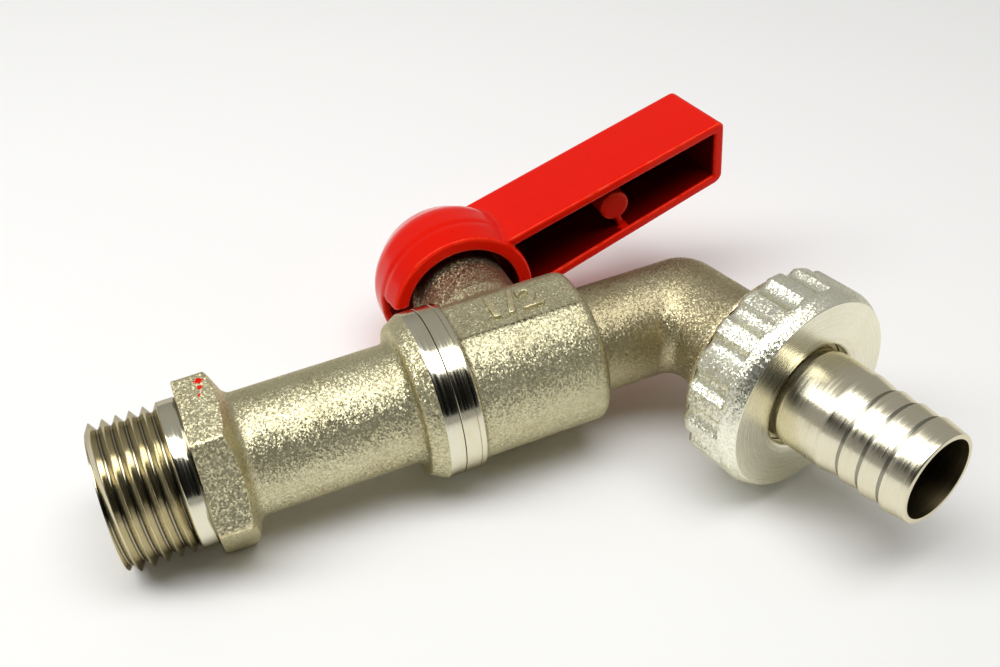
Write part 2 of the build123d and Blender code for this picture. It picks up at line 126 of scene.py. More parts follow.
POST_X, POST_R, POST_Z = 28.3, 2.45, 19.4
STEM_R, STUD_R, STUD_FOOT, STUD_END, STUD_PITCH = 4.0, 2.5, 26.4, 31.8, 0.8
STUD_NUT_LOW, STUD_NUT_HIGH, STUD_NUT_FLATS = 27.6, 30.9, 8.0
UNION_R, SPIGOT_ROOT, SPIGOT_START, SPIGOT_END = 13.2205, 13.0, 15.6, 19.9
NUT_R, NUT_REAR, NUT_FRONT, NUT_LIP, NUT_HOLE_R, NUT_THREAD_END = 15.3, 16.3, 25.7, 24.1, 7.9, 19.6
FLUTES, FLUTE_R, FLUTE_DEPTH, FLUTE_END = 18, 1.9, 0.8, 23.2
TAIL_BACK, TAIL_FLANGE, TAIL_R, TAIL_END, TAIL_BORE_R = 22.1, 23.9, 7.35, 46.6, 5.9
BARBS, BARB_CREST_R, BARB_ROOT_R = (36.6, 39.8, 43.1), 7.15, 6.65

# Camera fitted to the photograph, in millimetres, and the floor's upward direction
EYE = (3.639, -111.540, -122.980)
EYE_FORWARD = (0.247669, 0.628812, 0.737059)
EYE_TOP = (0.296777, -0.773429, 0.560117)
FLOOR_UP = (0.043, -0.998, -0.050)

# Overhead strip and black card, in degrees from upright and metres
STRIP_LEAN, STRIP_AWAY, STRIP_ASIDE, STRIP_LENGTH, STRIP_WIDTH = 6.5, 0.45, 0.18, 0.80, 0.215
CARD_LEAN, CARD_AWAY, CARD_LENGTH, CARD_WIDTH = 50, 0.5, 1.3, 0.56
FLOOR_SIDE = 3.0


# Settings

COLOUR = {"subtype": "COLOR", "size": 3, "min": 0.0, "max": 1.0}


class TapSizes(bpy.types.PropertyGroup):
    """Sizes of the fine forms that the skins add to the solids, in millimetres."""

    cast_wave: bpy.props.FloatProperty(
        name="Casting waviness", description="Wander of the cast faces", default=0.012, min=0.0, max=0.2
    )
    cast_step: bpy.props.FloatProperty(
        name="Casting mesh step", description="Spacing of points on castings", default=0.30, min=0.2, max=1.0
    )
    lever_step: bpy.props.FloatProperty(
        name="Lever mesh step", description="Spacing of points on the lever", default=0.33, min=0.2, max=1.0
    )
    columns: bpy.props.IntProperty(
        name="Columns round", description="Points round each turned piece", default=288, min=72, max=720
    )
    mark_height: bpy.props.FloatProperty(
        name="Size mark height", description="Height of the raised size number", default=4.6, min=1.0, max=8.0
    )


class TapFinishes(bpy.types.PropertyGroup):
    """Colours of the finishes."""

    plate: bpy.props.FloatVectorProperty(
        name="Plate", description="Satin plating on the castings", default=(0.64, 0.595, 0.39), **COLOUR
    )
    turned: bpy.props.FloatVectorProperty(
        name="Turned plate", description="Plating on turned faces", default=(0.80, 0.775, 0.62), **COLOUR
    )
    worn: bpy.props.FloatVectorProperty(
        name="Worn edge", description="Brass that shows at worn edges", default=(0.78, 0.62, 0.33), **COLOUR
    )
    red: bpy.props.FloatVectorProperty(
        name="Lever enamel", description="Enamel on the lever", default=(0.77, 0.007, 0.001), **COLOUR
    )


class TapStage(bpy.types.PropertyGroup):
    """Floor, light and camera."""

    floor: bpy.props.FloatVectorProperty(
        name="Floor", description="Colour of the floor", default=(0.95, 0.95, 0.94), **COLOUR
    )
    strip_power: bpy.props.FloatProperty(
        name="Overhead light", description="Power of the long soft light", default=2.52, min=0.0, unit="POWER"
    )
    room: bpy.props.FloatProperty(
        name="Room light", description="Strength of the even light of the room", default=0.37, min=0.0
    )
    focal_length: bpy.props.FloatProperty(
        name="Focal length", description="On a sensor 36 mm wide", default=42.4, min=1.0, unit="CAMERA"
    )


def settings():
    """The three groups of settings, which the scene holds."""
    scene = bpy.context.scene
    return scene.tap_sizes, scene.tap_finishes, scene.tap_stage


# Meshes


class Skin:
    """Grids of points round an axis or on a surface, which become one closed mesh."""

    def __init__(self):
        self.points = []
        self.faces = []
        self.count = 0

    def add_grid(self, x, y, z, lead=0):
        """A grid of rows round the axis. A screw's rows meet themselves lead rows further on."""
        rows, columns = x.shape
        index = self.count + np.arange(rows * columns).reshape(rows, columns)
        self.points.append(np.stack([x, y, z], -1).reshape(-1, 3))
        self.count += rows * columns
        corners = (index[:-1, :-1], index[:-1, 1:], index[1:, 1:], index[1:, :-1])
        self.faces.append(np.stack(corners, -1).reshape(-1, 4))
        last = rows - 1 - lead
        seam = (
            index[:last, -1],
            index[lead : lead + last, 0],
            index[lead + 1 : lead + 1 + last, 0],
            index[1 : last + 1, -1],
        )
        self.faces.append(np.stack(seam, -1))

    def add_rows(self, rows, columns):
        """Rows of (height, radius), each one number or one for every column."""
        turn = np.arange(columns) / columns * 2 * math.pi
        height = np.array([np.broadcast_to(h, columns) for h, _ in rows], float)
        radius = np.array([np.broadcast_to(r, columns) for _, r in rows], float)
        self.add_grid(radius * np.cos(turn), radius * np.sin(turn), height)

    def add_thread(self, start, end, pitch, radius_at, columns, per_turn=16):
        """Rows along a screw thread, cut square at both ends. radius_at takes heights and turns."""
        part = np.arange(columns) / columns
        turns = math.ceil((end - start) / pitch) + 1
        base = start - pitch + np.arange(per_turn * turns + 1) * pitch / per_turn
        height = np.clip(base[:, None] + pitch * part, start, end)
        radius = radius_at(height, part[None, :])
        angle = part * 2 * math.pi
        self.add_grid(radius * np.cos(angle), radius * np.sin(angle), height, lead=per_turn)

    def object(self, name, frame, sharp=35.0):
        """The finished piece, placed in its frame."""
        mesh = bpy.data.meshes.new(name)
        points = np.concatenate(self.points) * MM
        mesh.from_pydata(points.tolist(), [], np.concatenate(self.faces).tolist())
        return finish_mesh(mesh, frame, sharp)


def finish_mesh(mesh, frame, sharp):
    """Welds a mesh, shades it, marks its points and places it in the row frame as an object."""
    weld = bmesh.new()
    weld.from_mesh(mesh)
    bmesh.ops.remove_doubles(weld, verts=weld.verts, dist=2e-7)
    bmesh.ops.dissolve_degenerate(weld, edges=weld.edges, dist=1e-8)
    bmesh.ops.recalc_face_normals(weld, faces=weld.faces)
    weld.to_mesh(mesh)
    weld.free()
    mesh.shade_smooth()
    mesh.set_sharp_from_angle(angle=math.radians(sharp))
    mark_edges(mesh)
    mark_own(mesh, frame)
    mesh.transform(frame)
    piece = bpy.data.objects.new(mesh.name, mesh)
    bpy.context.scene.collection.objects.link(piece)
    return piece


def fetch(items, name, width=3, kind=np.float32):
    """One property of all the items, as an array with a row for each."""
    values = np.empty(len(items) * width, kind)
    items.foreach_get(name, values)
    return values.reshape(-1, width)


def mark_own(mesh, frame):
    """Stores each point's place in the piece's own frame, and the way round its axis, as attributes."""
    place = fetch(mesh.vertices, "co")
    x, y = place[:, 0], place[:, 1]
    way = np.stack([-y, x, 0 * x], 1) / np.maximum(np.hypot(x, y), 1e-9)[:, None]
    way = way @ np.array(frame.to_3x3()).T
    for name, value in (("own", place), ("round", way)):
        layer = mesh.attributes.new(name, "FLOAT_VECTOR", "POINT")
        layer.data.foreach_set("vector", value.astype(np.float32).ravel())


def mark_edges(mesh, rounds=2):
    """Stores how far each point stands out from its neighbours, as an attribute named edge."""
    place, normal = fetch(mesh.vertices, "co", kind=float), fetch(mesh.vertex_normals, "vector")
    a, b = fetch(mesh.edges, "vertices", 2, np.int32).T
    count = len(place)
    degree = np.maximum(np.bincount(a, minlength=count) + np.bincount(b, minlength=count), 1)

    def mean(value):
        return (np.bincount(a, value[b], count) + np.bincount(b, value[a], count)) / degree

    away = place - np.stack([mean(place[:, i]) for i in range(3)], 1)
    length = np.linalg.norm(place[a] - place[b], axis=1)
    spacing = (np.bincount(a, length, count) + np.bincount(b, length, count)) / degree
    stand = np.einsum("ij,ij->i", away, normal) / np.maximum(spacing, 1e-9)
    for _ in range(rounds):
        stand = 0.5 * stand + 0.5 * mean(stand)
    layer = mesh.attributes.new("edge", "FLOAT", "POINT")
    layer.data.foreach_set("value", np.clip(stand * 4, -1, 1).astype(np.float32))


def rounded(corners, steps=4):
    """Heights and radii along a profile whose corners (height, radius, round) are rounded off."""
    rows = []
    for i, (height, radius, size) in enumerate(corners):
        here = np.array((height, radius))
        if size == 0:
            rows.append((height, radius))
            continue
        before = np.array(corners[i - 1][:2]) - here
        after = np.array(corners[(i + 1) % len(corners)][:2]) - here
        start = here + before / np.linalg.norm(before) * size
        end = here + after / np.linalg.norm(after) * size
        for part in np.linspace(0, 1, steps + 1):
            point = (1 - part) ** 2 * start + 2 * part * (1 - part) * here + part**2 * end
            rows.append(tuple(point))
    return rows


def spread(start, end, count):
    """Heights between two ends, without the ends."""
    return np.linspace(start, end, count + 2)[1:-1]


def groove(height, part, start, pitch):
    """Depth of a right-hand V thread, from 0 on its crest to 1 at its root."""
    phase = ((height - start) / pitch - part) % 1.0
    return np.clip((0.5 - np.abs(phase - 0.5) - 0.025) / 0.42, 0, 1)


def ease(value, low, high):
    """A smooth step from 0 at low to 1 at high."""
    part = np.clip((value - low) / (high - low), 0, 1)
    return part * part * (3 - 2 * part)


def polygon(angle, flats, corner, sides=6, sharpness=70):
    """Radius of a regular polygon with slightly worn corners, the first at the angle corner."""
    total = 0.0
    for side in range(sides):
        middle = corner + math.pi / sides + side * 2 * math.pi / sides
        total = total + np.maximum(np.cos(angle - middle), 0) ** sharpness
    return flats / 2 * total ** (-1 / sharpness)


def wave(x, y, z, size, seed):
    """Smooth uneven height between about -1 and 1, with hills of the given size."""
    chance = np.random.default_rng(seed)
    total = 0.0
    for _ in range(9):
        way = chance.normal(size=3)
        way *= 2 * math.pi / size * chance.uniform(0.6, 1.4) / np.linalg.norm(way)
        total = total + np.sin(way[0] * x + way[1] * y + way[2] * z + chance.uniform(0, 6.3))
    return total / 4


def meet(a, b, size):
    """What lies in both fields, with the edge between them rounded to the given radius."""
    return np.hypot(np.maximum(a + size, 0), np.maximum(b + size, 0)) - size + np.minimum(
        np.maximum(a, b) + size, 0
    )


def join(a, b, size):
    """What lies in either field, with a fillet of the given radius between them."""
    return -meet(-a, -b, size)


def net(name, field, low, high, step, frame, sharp=45.0):
    """A piece whose skin is where the field is zero: one point in each crossed cell of a grid."""
    axes = [np.arange(a, b + step, step) for a, b in zip(low, high)]
    inside = field(*np.meshgrid(*axes, indexing="ij")) < 0
    filled = sum(
        inside[i : i - 1 or None, j : j - 1 or None, k : k - 1 or None].astype(np.int8)
        for i in (0, 1)
        for j in (0, 1)
        for k in (0, 1)
    )
    crossed = (filled > 0) & (filled < 8)
    number = np.full(crossed.shape, -1)
    number[crossed] = np.arange(np.count_nonzero(crossed))
    points = np.array(low) + (np.argwhere(crossed) + 0.5) * step
    quads = []
    for axis in range(3):
        order = (axis, (axis + 1) % 3, (axis + 2) % 3)
        solid, cell = np.transpose(inside, order), np.transpose(number, order)
        i, j, k = np.nonzero(solid[:-1, 1:-1, 1:-1] != solid[1:, 1:-1, 1:-1])
        quad = np.stack([cell[i, j, k], cell[i, j + 1, k], cell[i, j + 1, k + 1], cell[i, j, k + 1]], 1)
        leaving = solid[i, j + 1, k + 1]
        quads.append(np.where(leaving[:, None], quad, quad[:, ::-1]))
    quads = np.concatenate(quads)
    ends = np.concatenate([quads[:, [0, 1]], quads[:, [1, 2]], quads[:, [2, 3]], quads[:, [3, 0]]])
    degree = np.bincount(ends.ravel(), minlength=len(points))
    for _ in range(3):
        points = on_surface(field, points, step)
        near = [
            np.bincount(ends[:, 0], points[ends[:, 1], i], len(points))
            + np.bincount(ends[:, 1], points[ends[:, 0], i], len(points))
            for i in range(3)
        ]
        points = 0.5 * points + 0.5 * np.stack(near, 1) / degree[:, None]
    points = on_surface(field, points, step)
    mesh = bpy.data.meshes.new(name)
    mesh.from_pydata((points * MM).tolist(), [], quads.tolist())
    return finish_mesh(mesh, frame, sharp)


def on_surface(field, points, step):
    """Moves points to where the field is zero, along its steepest way and never far."""
    reach = step / 5
    for _ in range(3):
        slope = np.stack(
            [
                (field(*(points + shift).T) - field(*(points - shift).T)) / (2 * reach)
                for shift in np.eye(3) * reach
            ],
            1,
        )
        size = np.maximum(np.einsum("ij,ij->i", slope, slope), 0.2)
        move = (field(*points.T) / size)[:, None] * slope
        points = points - np.clip(move, -step / 2, step / 2)
    return points


def dress(piece, body, slot, finish, *nodes):
    """Gives a piece its finish, sets it on its body and lets it stand for its solids."""
    piece.data.materials.clear()
    piece.data.materials.append(finish_named(finish))
    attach(piece, body)
    if nodes:
        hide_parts(*nodes)


# Node groups and finishes


class Nodes:
    """Adds nodes to a shader tree, joining sockets and setting plain values."""

    def __init__(self, tree):
        self.tree = tree

    def put(self, socket, value):
        if isinstance(value, bpy.types.NodeSocket):
            self.tree.links.new(value, socket)
        else:
            socket.default_value = value

    def add(self, kind, sockets=None, **traits):
        node = self.tree.nodes.new("ShaderNode" + kind)
        node.location = (len(self.tree.nodes) * 190, 0)
        for trait, value in traits.items():
            setattr(node, trait, value)
        for name, value in (sockets or {}).items():
            self.put(node.inputs[name], value)
        return node

    def group(self, build, **sockets):
        return self.add("Group", sockets, node_tree=shared(build)).outputs

    def attribute(self, name, output="Vector"):
        return self.add("Attribute", attribute_name=name).outputs[output]

    def math(self, operation, first, second=0.0, clamp=False):
        node = self.add("Math", {0: first, 1: second}, operation=operation, use_clamp=clamp)
        return node.outputs[0]

    def range(self, value, low, high, to_low=0.0, to_high=1.0):
        sockets = {"Value": value, "From Min": low, "From Max": high, "To Min": to_low, "To Max": to_high}
        return self.add("MapRange", sockets).outputs["Result"]

    def noise(self, vector, scale, detail=2.0, roughness=0.5):
        sockets = {"Vector": vector, "Scale": scale, "Detail": detail, "Roughness": roughness}
        return self.add("TexNoise", sockets).outputs["Fac"]

    def bump(self, height, strength, distance):
        sockets = {"Height": height, "Strength": strength, "Distance": distance}
        return self.add("Bump", sockets).outputs["Normal"]

    def mix(self, part, first, second, share=1.0):
        """The first colour, with a share of the second where part is high."""
        if share != 1.0:
            part = self.math("MULTIPLY", part, share)
        node = self.add("Mix", {"Factor": part}, data_type="RGBA")
        for socket, value in ((node.inputs[6], first), (node.inputs[7], second)):
            self.put(socket, value if isinstance(value, bpy.types.NodeSocket) else (*value, 1.0))
        return node.outputs[2]

    def finish(self, sockets, **values):
        """Links values to the sockets of a shader or of a group's output."""
        for name, value in values.items():
            self.tree.links.new(value, sockets[name.replace("_", " ")])


def new_group(name, inputs, outputs):
    """An empty node group with named sockets, and its nodes to fill in."""
    tree = bpy.data.node_groups.new(name, "ShaderNodeTree")
    for label, kind, default in inputs:
        socket = tree.interface.new_socket(label, in_out="INPUT", socket_type="NodeSocket" + kind)
        if default is not None:
            socket.default_value = default
    for label, kind in outputs:
        tree.interface.new_socket(label, in_out="OUTPUT", socket_type="NodeSocket" + kind)
    return Nodes(tree), tree.nodes.new("NodeGroupInput").outputs, tree.nodes.new("NodeGroupOutput").inputs


def cast_grain():
    """Grain of a blasted casting: the normal of its small facets, their brightness and its stains."""
    nodes, given, result = new_group(
        "Cast grain",
        [
            ("Vector", "Vector", None),
            ("Normal", "Vector", None),
            ("Grain", "Float", 5200.0),
            ("Lean", "Float", 0.45),
            ("Stain", "Float", 140.0),
        ],
        [("Normal", "Vector"), ("Fleck", "Float"), ("Stain", "Float")],
    )

    def vector(operation, sockets):
        return nodes.add("VectorMath", sockets, operation=operation).outputs[0]

    facet = nodes.add("TexVoronoi", {"Vector": given["Vector"], "Scale": given["Grain"]}).outputs["Color"]
    way = vector("SUBTRACT", {0: facet, 1: (0.5, 0.5, 0.5)})
    way = vector("SCALE", {0: way, "Scale": given["Lean"]})
    normal = vector("NORMALIZE", {0: vector("ADD", {0: given["Normal"], 1: way})})
    fleck = nodes.add("SeparateXYZ", {"Vector": facet}).outputs["X"]
    stain = nodes.range(nodes.noise(given["Vector"], given["Stain"], 3.0, 0.6), 0.46, 0.72)
    nodes.finish(result, Normal=normal, Fleck=fleck, Stain=stain)
    return nodes.tree


def turning_marks():
    """Fine rings that a tool leaves round the piece's own Z axis: their height and broader streaks."""
    nodes, given, result = new_group(
        "Turning marks",
        [("Vector", "Vector", None), ("Rings", "Float", 9000.0)],
        [("Height", "Float"), ("Streak", "Float")],
    )
    x, y, z = nodes.add("SeparateXYZ", {"Vector": given["Vector"]}).outputs
    square = nodes.math("ADD", nodes.math("MULTIPLY", x, x), nodes.math("MULTIPLY", y, y))
    along = nodes.math("ADD", z, nodes.math("SQRT", square))

    def rings(scale, detail):
        sockets = {"W": along, "Scale": scale, "Detail": detail}
        return nodes.add("TexNoise", sockets, noise_dimensions="1D").outputs["Fac"]

    broad = rings(nodes.math("MULTIPLY", given["Rings"], 0.3), 3.0)
    nodes.finish(result, Height=rings(given["Rings"], 2.0), Streak=nodes.range(broad, 0.35, 0.65))
    return nodes.tree


def edge_wear():
    """Where an edge is rubbed bare and where a hollow is darkened, from the edge attribute."""
    nodes, given, result = new_group(
        "Edge wear",
        [("Edge", "Float", 0.0), ("Vector", "Vector", None), ("Amount", "Float", 0.6)],
        [("Wear", "Float"), ("Hollow", "Float")],
    )
    patch = nodes.range(nodes.noise(given["Vector"], 900.0, 3.0, 0.6), 0.34, 0.62)
    raised = nodes.range(given["Edge"], 0.22, 0.75)
    wear = nodes.math("MULTIPLY", nodes.math("MULTIPLY", raised, patch), given["Amount"], clamp=True)
    nodes.finish(result, Wear=wear, Hollow=nodes.range(given["Edge"], -0.12, -0.6))
    return nodes.tree


def shared(build):
    """The node group of one effect, built at its first use."""
    name = build.__name__.replace("_", " ").capitalize()
    return bpy.data.node_groups.get(name) or build()


def new_finish(name, **plain):
    """A material with plain values on its surface shader, its nodes and the piece's own coordinates."""
    finish = bpy.data.materials.new(name)
    finish.use_nodes = True
    nodes = Nodes(finish.node_tree)
    surface = finish.node_tree.nodes["Principled BSDF"]
    for socket, value in plain.items():
        surface.inputs[socket.replace("_", " ")].default_value = value
    place = nodes.add("TexCoord").outputs["Object"]
    return finish, nodes, surface.inputs, place


def worn(nodes, place, amount):
    """The edge wear of a piece, from its edge attribute."""
    return nodes.group(edge_wear, Edge=nodes.attribute("edge", "Fac"), Vector=place, Amount=amount)


def tinted(colour, tint):
    """A colour times a tint, which is one number or one for each channel."""
    tint = (tint,) * 3 if isinstance(tint, float) else tint
    return [min(1.0, c * f) for c, f in zip(colour, tint)]


def cast_plate(name, colour, bare, grain=5200.0, lean=0.5, wear=0.5, rough=(0.36, 0.50), stain=0.8):
    """Satin plate on a sand-blasted casting, with stains, dark hollows and brassy edges."""
    finish, nodes, surface, place = new_finish(name, Metallic=1.0, Specular_Tint=(0.72, 0.69, 0.62, 1.0))
    true = nodes.add("NewGeometry").outputs["Normal"]
    cast = nodes.group(cast_grain, Vector=place, Normal=true, Grain=grain, Lean=lean)
    rubbed = worn(nodes, place, wear)
    toned = nodes.mix(cast["Stain"], colour, tinted(colour, (0.80, 0.77, 0.70)), stain)
    toned = nodes.mix(nodes.range(cast["Fleck"], 0.55, 1.0, 0.0, 0.6), toned, tinted(colour, 1.35))
    dark = tinted(colour, (0.6, 0.6, 0.57))
    toned = nodes.mix(nodes.range(cast["Fleck"], 0.45, 0.0, 0.0, 0.6), toned, dark)
    toned = nodes.mix(rubbed["Hollow"], toned, tinted(colour, (0.42, 0.41, 0.38)), 0.75)
    toned = nodes.mix(rubbed["Wear"], toned, bare or colour)
    rough_value = nodes.range(cast["Fleck"], 0.0, 1.0, rough[1], rough[0])
    nodes.finish(surface, Base_Color=toned, Roughness=rough_value, Normal=cast["Normal"])
    return finish


def turned_plate(
    name, colour, bare, rings=9000.0, depth=4e-6, rough=(0.10, 0.20), wear=0.25, grain=0.0, dirt=0.7,
    graze=(0.5, 0.47, 0.40),
):
    """Bright plate on a turned face, with the tool's rings round the piece's own axis."""
    finish, nodes, surface, place = new_finish(
        name, Metallic=1.0, Anisotropic=grain, Anisotropic_Rotation=0.25, Specular_Tint=(*graze, 1.0)
    )
    marks = nodes.group(turning_marks, Vector=nodes.attribute("own"), Rings=rings)
    rubbed = worn(nodes, place, wear)
    if grain:
        way = {"Vector": nodes.attribute("round")}
        way = nodes.add("VectorTransform", way, convert_from="OBJECT", convert_to="WORLD")
        nodes.finish(surface, Tangent=way.outputs["Vector"])
    smear = nodes.range(nodes.noise(place, 320.0, 3.0), 0.4, 0.7)
    toned = nodes.mix(smear, colour, tinted(colour, (0.90, 0.86, 0.76)), 0.35)
    toned = nodes.mix(rubbed["Hollow"], toned, tinted(colour, 0.2), dirt)
    toned = nodes.mix(rubbed["Wear"], toned, bare or colour)
    rough_value = nodes.range(marks["Streak"], 0.0, 1.0, *rough)
    normal = nodes.bump(marks["Height"], 0.6, depth)
    nodes.finish(surface, Base_Color=toned, Roughness=rough_value, Normal=normal)
    return finish


def red_enamel(name, colour):
    """Glossy enamel on a die casting: a soft orange peel, dust specks, and bright orange edges that are thin
    paint and a painted highlight.
    """
    finish, nodes, surface, place = new_finish(
        name, Metallic=0.0, Specular_IOR_Level=0.28, Specular_Tint=(1.0, 0.42, 0.28, 1.0)
    )
    rubbed = worn(nodes, place, 0.65)
    cloud = nodes.range(nodes.noise(place, 180.0, 3.0), 0.35, 0.7)
    toned = nodes.mix(cloud, colour, tinted(colour, (0.86, 0.75, 0.8)), 0.25)
    # Bright orange on raised edges: thin paint, and a painted highlight along them.
    toned = nodes.mix(rubbed["Wear"], toned, (1.0, 0.12, 0.05), 0.8)
    toned = nodes.mix(rubbed["Hollow"], toned, tinted(colour, 0.45), 0.5)
    speck = nodes.range(nodes.noise(place, 1500.0, 1.0), 0.75, 0.80)
    toned = nodes.mix(speck, toned, tinted(colour, 0.3), 0.5)
    normal = nodes.bump(nodes.noise(place, 620.0, 2.0, 0.55), 0.5, 0.00003)
    rough_value = nodes.range(cloud, 0.0, 1.0, 0.15, 0.27)
    nodes.finish(surface, Base_Color=toned, Roughness=rough_value, Normal=normal)
    return finish


def soft_plain(name, colour, rough, scale, depth):
    """Moulded rubber or plastic with a fine uneven skin."""
    finish, nodes, surface, place = new_finish(name, Metallic=0.0)
    skin = nodes.noise(place, scale, 3.0)
    toned = nodes.mix(skin, colour, tinted(colour, 0.7), 0.5)
    rough_value = nodes.range(skin, 0.3, 0.7, rough - 0.08, rough + 0.08)
    nodes.finish(surface, Base_Color=toned, Roughness=rough_value, Normal=nodes.bump(skin, 0.5, depth))
    return finish


# What makes each finish: a function, a colour or the setting that holds it, a tint and other values.
# bare is the metal under worn plate where that isn't the brass of the settings, or None for the plate itself.
GREY = (0.8, 0.8, 0.8)
FINISHES = {
    "cast_plate": (cast_plate, "plate", 1.0, {}),
    "mark_plate": (cast_plate, "plate", 1.14, dict(lean=0.35, wear=0.3)),
    # The plate darkened: painted shade round the raised size number.
    "mark_shade": (cast_plate, "plate", 0.28, dict(lean=0.3, wear=0.0)),
    # Stronger stains, and the plate darkened as painted shade on the neck and spigot.
    "neck_plate": (cast_plate, "plate", (0.80, 0.76, 0.72), dict(lean=0.4, stain=1.0)),
    # Coarser grain, and a darker reddish tint: painted shade and a painted red reflection from the lever
    # above.
    "boss_plate": (cast_plate, "plate", (0.72, 0.65, 0.63), dict(grain=4600.0, lean=0.55)),
    "collar_plate": (cast_plate, "plate", 1.14, dict(grain=4600.0, lean=0.55, wear=0.95)),
    # The plate darkened: a broken line of painted shade at the foot of the flats.
    "step_dirt": (cast_plate, "plate", 0.35, dict(lean=0.6, wear=0.0)),
    "nut_plate": (cast_plate, "turned", 1.3, dict(lean=0.35, rough=(0.28, 0.40))),
    "zinc": (cast_plate, (0.66, 0.67, 0.68), 1.0, dict(bare=GREY, lean=0.05, rough=(0.22, 0.34))),
    "turned_plate": (turned_plate, "turned", 1.0, {}),
    "thread_plate": (
        turned_plate, "turned", (0.88, 0.84, 0.78),
        dict(rings=5200.0, rough=(0.12, 0.22), wear=0.35, dirt=1.0),
    ),
    "tail_plate": (
        turned_plate, "turned", (1.0, 0.97, 0.94),
        dict(rings=6000.0, depth=1e-5, rough=(0.18, 0.30), grain=0.6, graze=(0.9, 0.86, 0.75)),
    ),
    # The turned plate darkened: painted shade on the step before each barb.
    "tail_shade": (
        turned_plate, "turned", 0.4, dict(bare=None, rings=7000.0, depth=7e-6, rough=(0.2, 0.3), grain=0.5),
    ),
    "face_plate": (
        turned_plate, "turned", 1.12,
        dict(rings=7000.0, depth=6e-6, rough=(0.22, 0.32), grain=0.85, graze=(1.0, 0.99, 0.92)),
    ),
    "bore_plate": (
        turned_plate, "turned", (0.18, 0.15, 0.10),
        dict(bare=None, rings=5000.0, depth=1e-5, rough=(0.35, 0.5)),
    ),
    "stem_brass": (turned_plate, (0.78, 0.60, 0.32), 1.0, dict(rough=(0.2, 0.32))),
    "ball_chrome": (turned_plate, (0.75, 0.76, 0.77), 1.0, dict(bare=GREY, rough=(0.04, 0.08))),
    "red_enamel": (red_enamel, "red", 1.0, {}),
    # The red made brighter: painted light on the lower rims of the skirt and arm.
    "rim_enamel": (red_enamel, "red", (2.0, 1.6, 1.6), {}),
    # The red darkened to a fifth: painted shade inside the arm's channel and the skirt.
    "channel_enamel": (red_enamel, "red", 0.2, {}),
    "seam_dirt": (soft_plain, (0.02, 0.016, 0.01), 1.0, dict(rough=0.8, scale=1800.0, depth=2e-5)),
    "seat_plastic": (soft_plain, (0.82, 0.82, 0.79), 1.0, dict(rough=0.45, scale=900.0, depth=1e-5)),
    "seal_rubber": (soft_plain, (0.02, 0.02, 0.02), 1.0, dict(rough=0.6, scale=1400.0, depth=2e-5)),
}


def finish_named(name):
    """One of the tap's finishes, made at its first use."""
    made = bpy.data.materials.get(name)
    if made:
        return made
    colours = settings()[1]
    maker, base, tint, values = FINISHES[name]
    colour = tinted(getattr(colours, base) if isinstance(base, str) else base, tint)
    if maker in (cast_plate, turned_plate):
        values = {"bare": tuple(colours.worn), **values}
    return maker(name, colour, **values)


def paint_zones(piece, frame, zones):
    """Gives faces their own finish by where they lie in the piece's own frame.

    zones takes x, y, z and the distance from the axis, in millimetres, and gives finishes with masks.
    """
    mesh = piece.data
    own = np.array(frame.inverted())
    x, y, z = (fetch(mesh.polygons, "center") @ own[:3, :3].T + own[:3, 3]).T / MM
    index = np.zeros(len(x), np.int32)
    for finish, mask in zones(x, y, z, np.hypot(x, y)):
        mesh.materials.append(finish_named(finish))
        index[mask] = len(mesh.materials) - 1
    mesh.polygons.foreach_set("material_index", index)


# Forms of the pieces, in millimetres


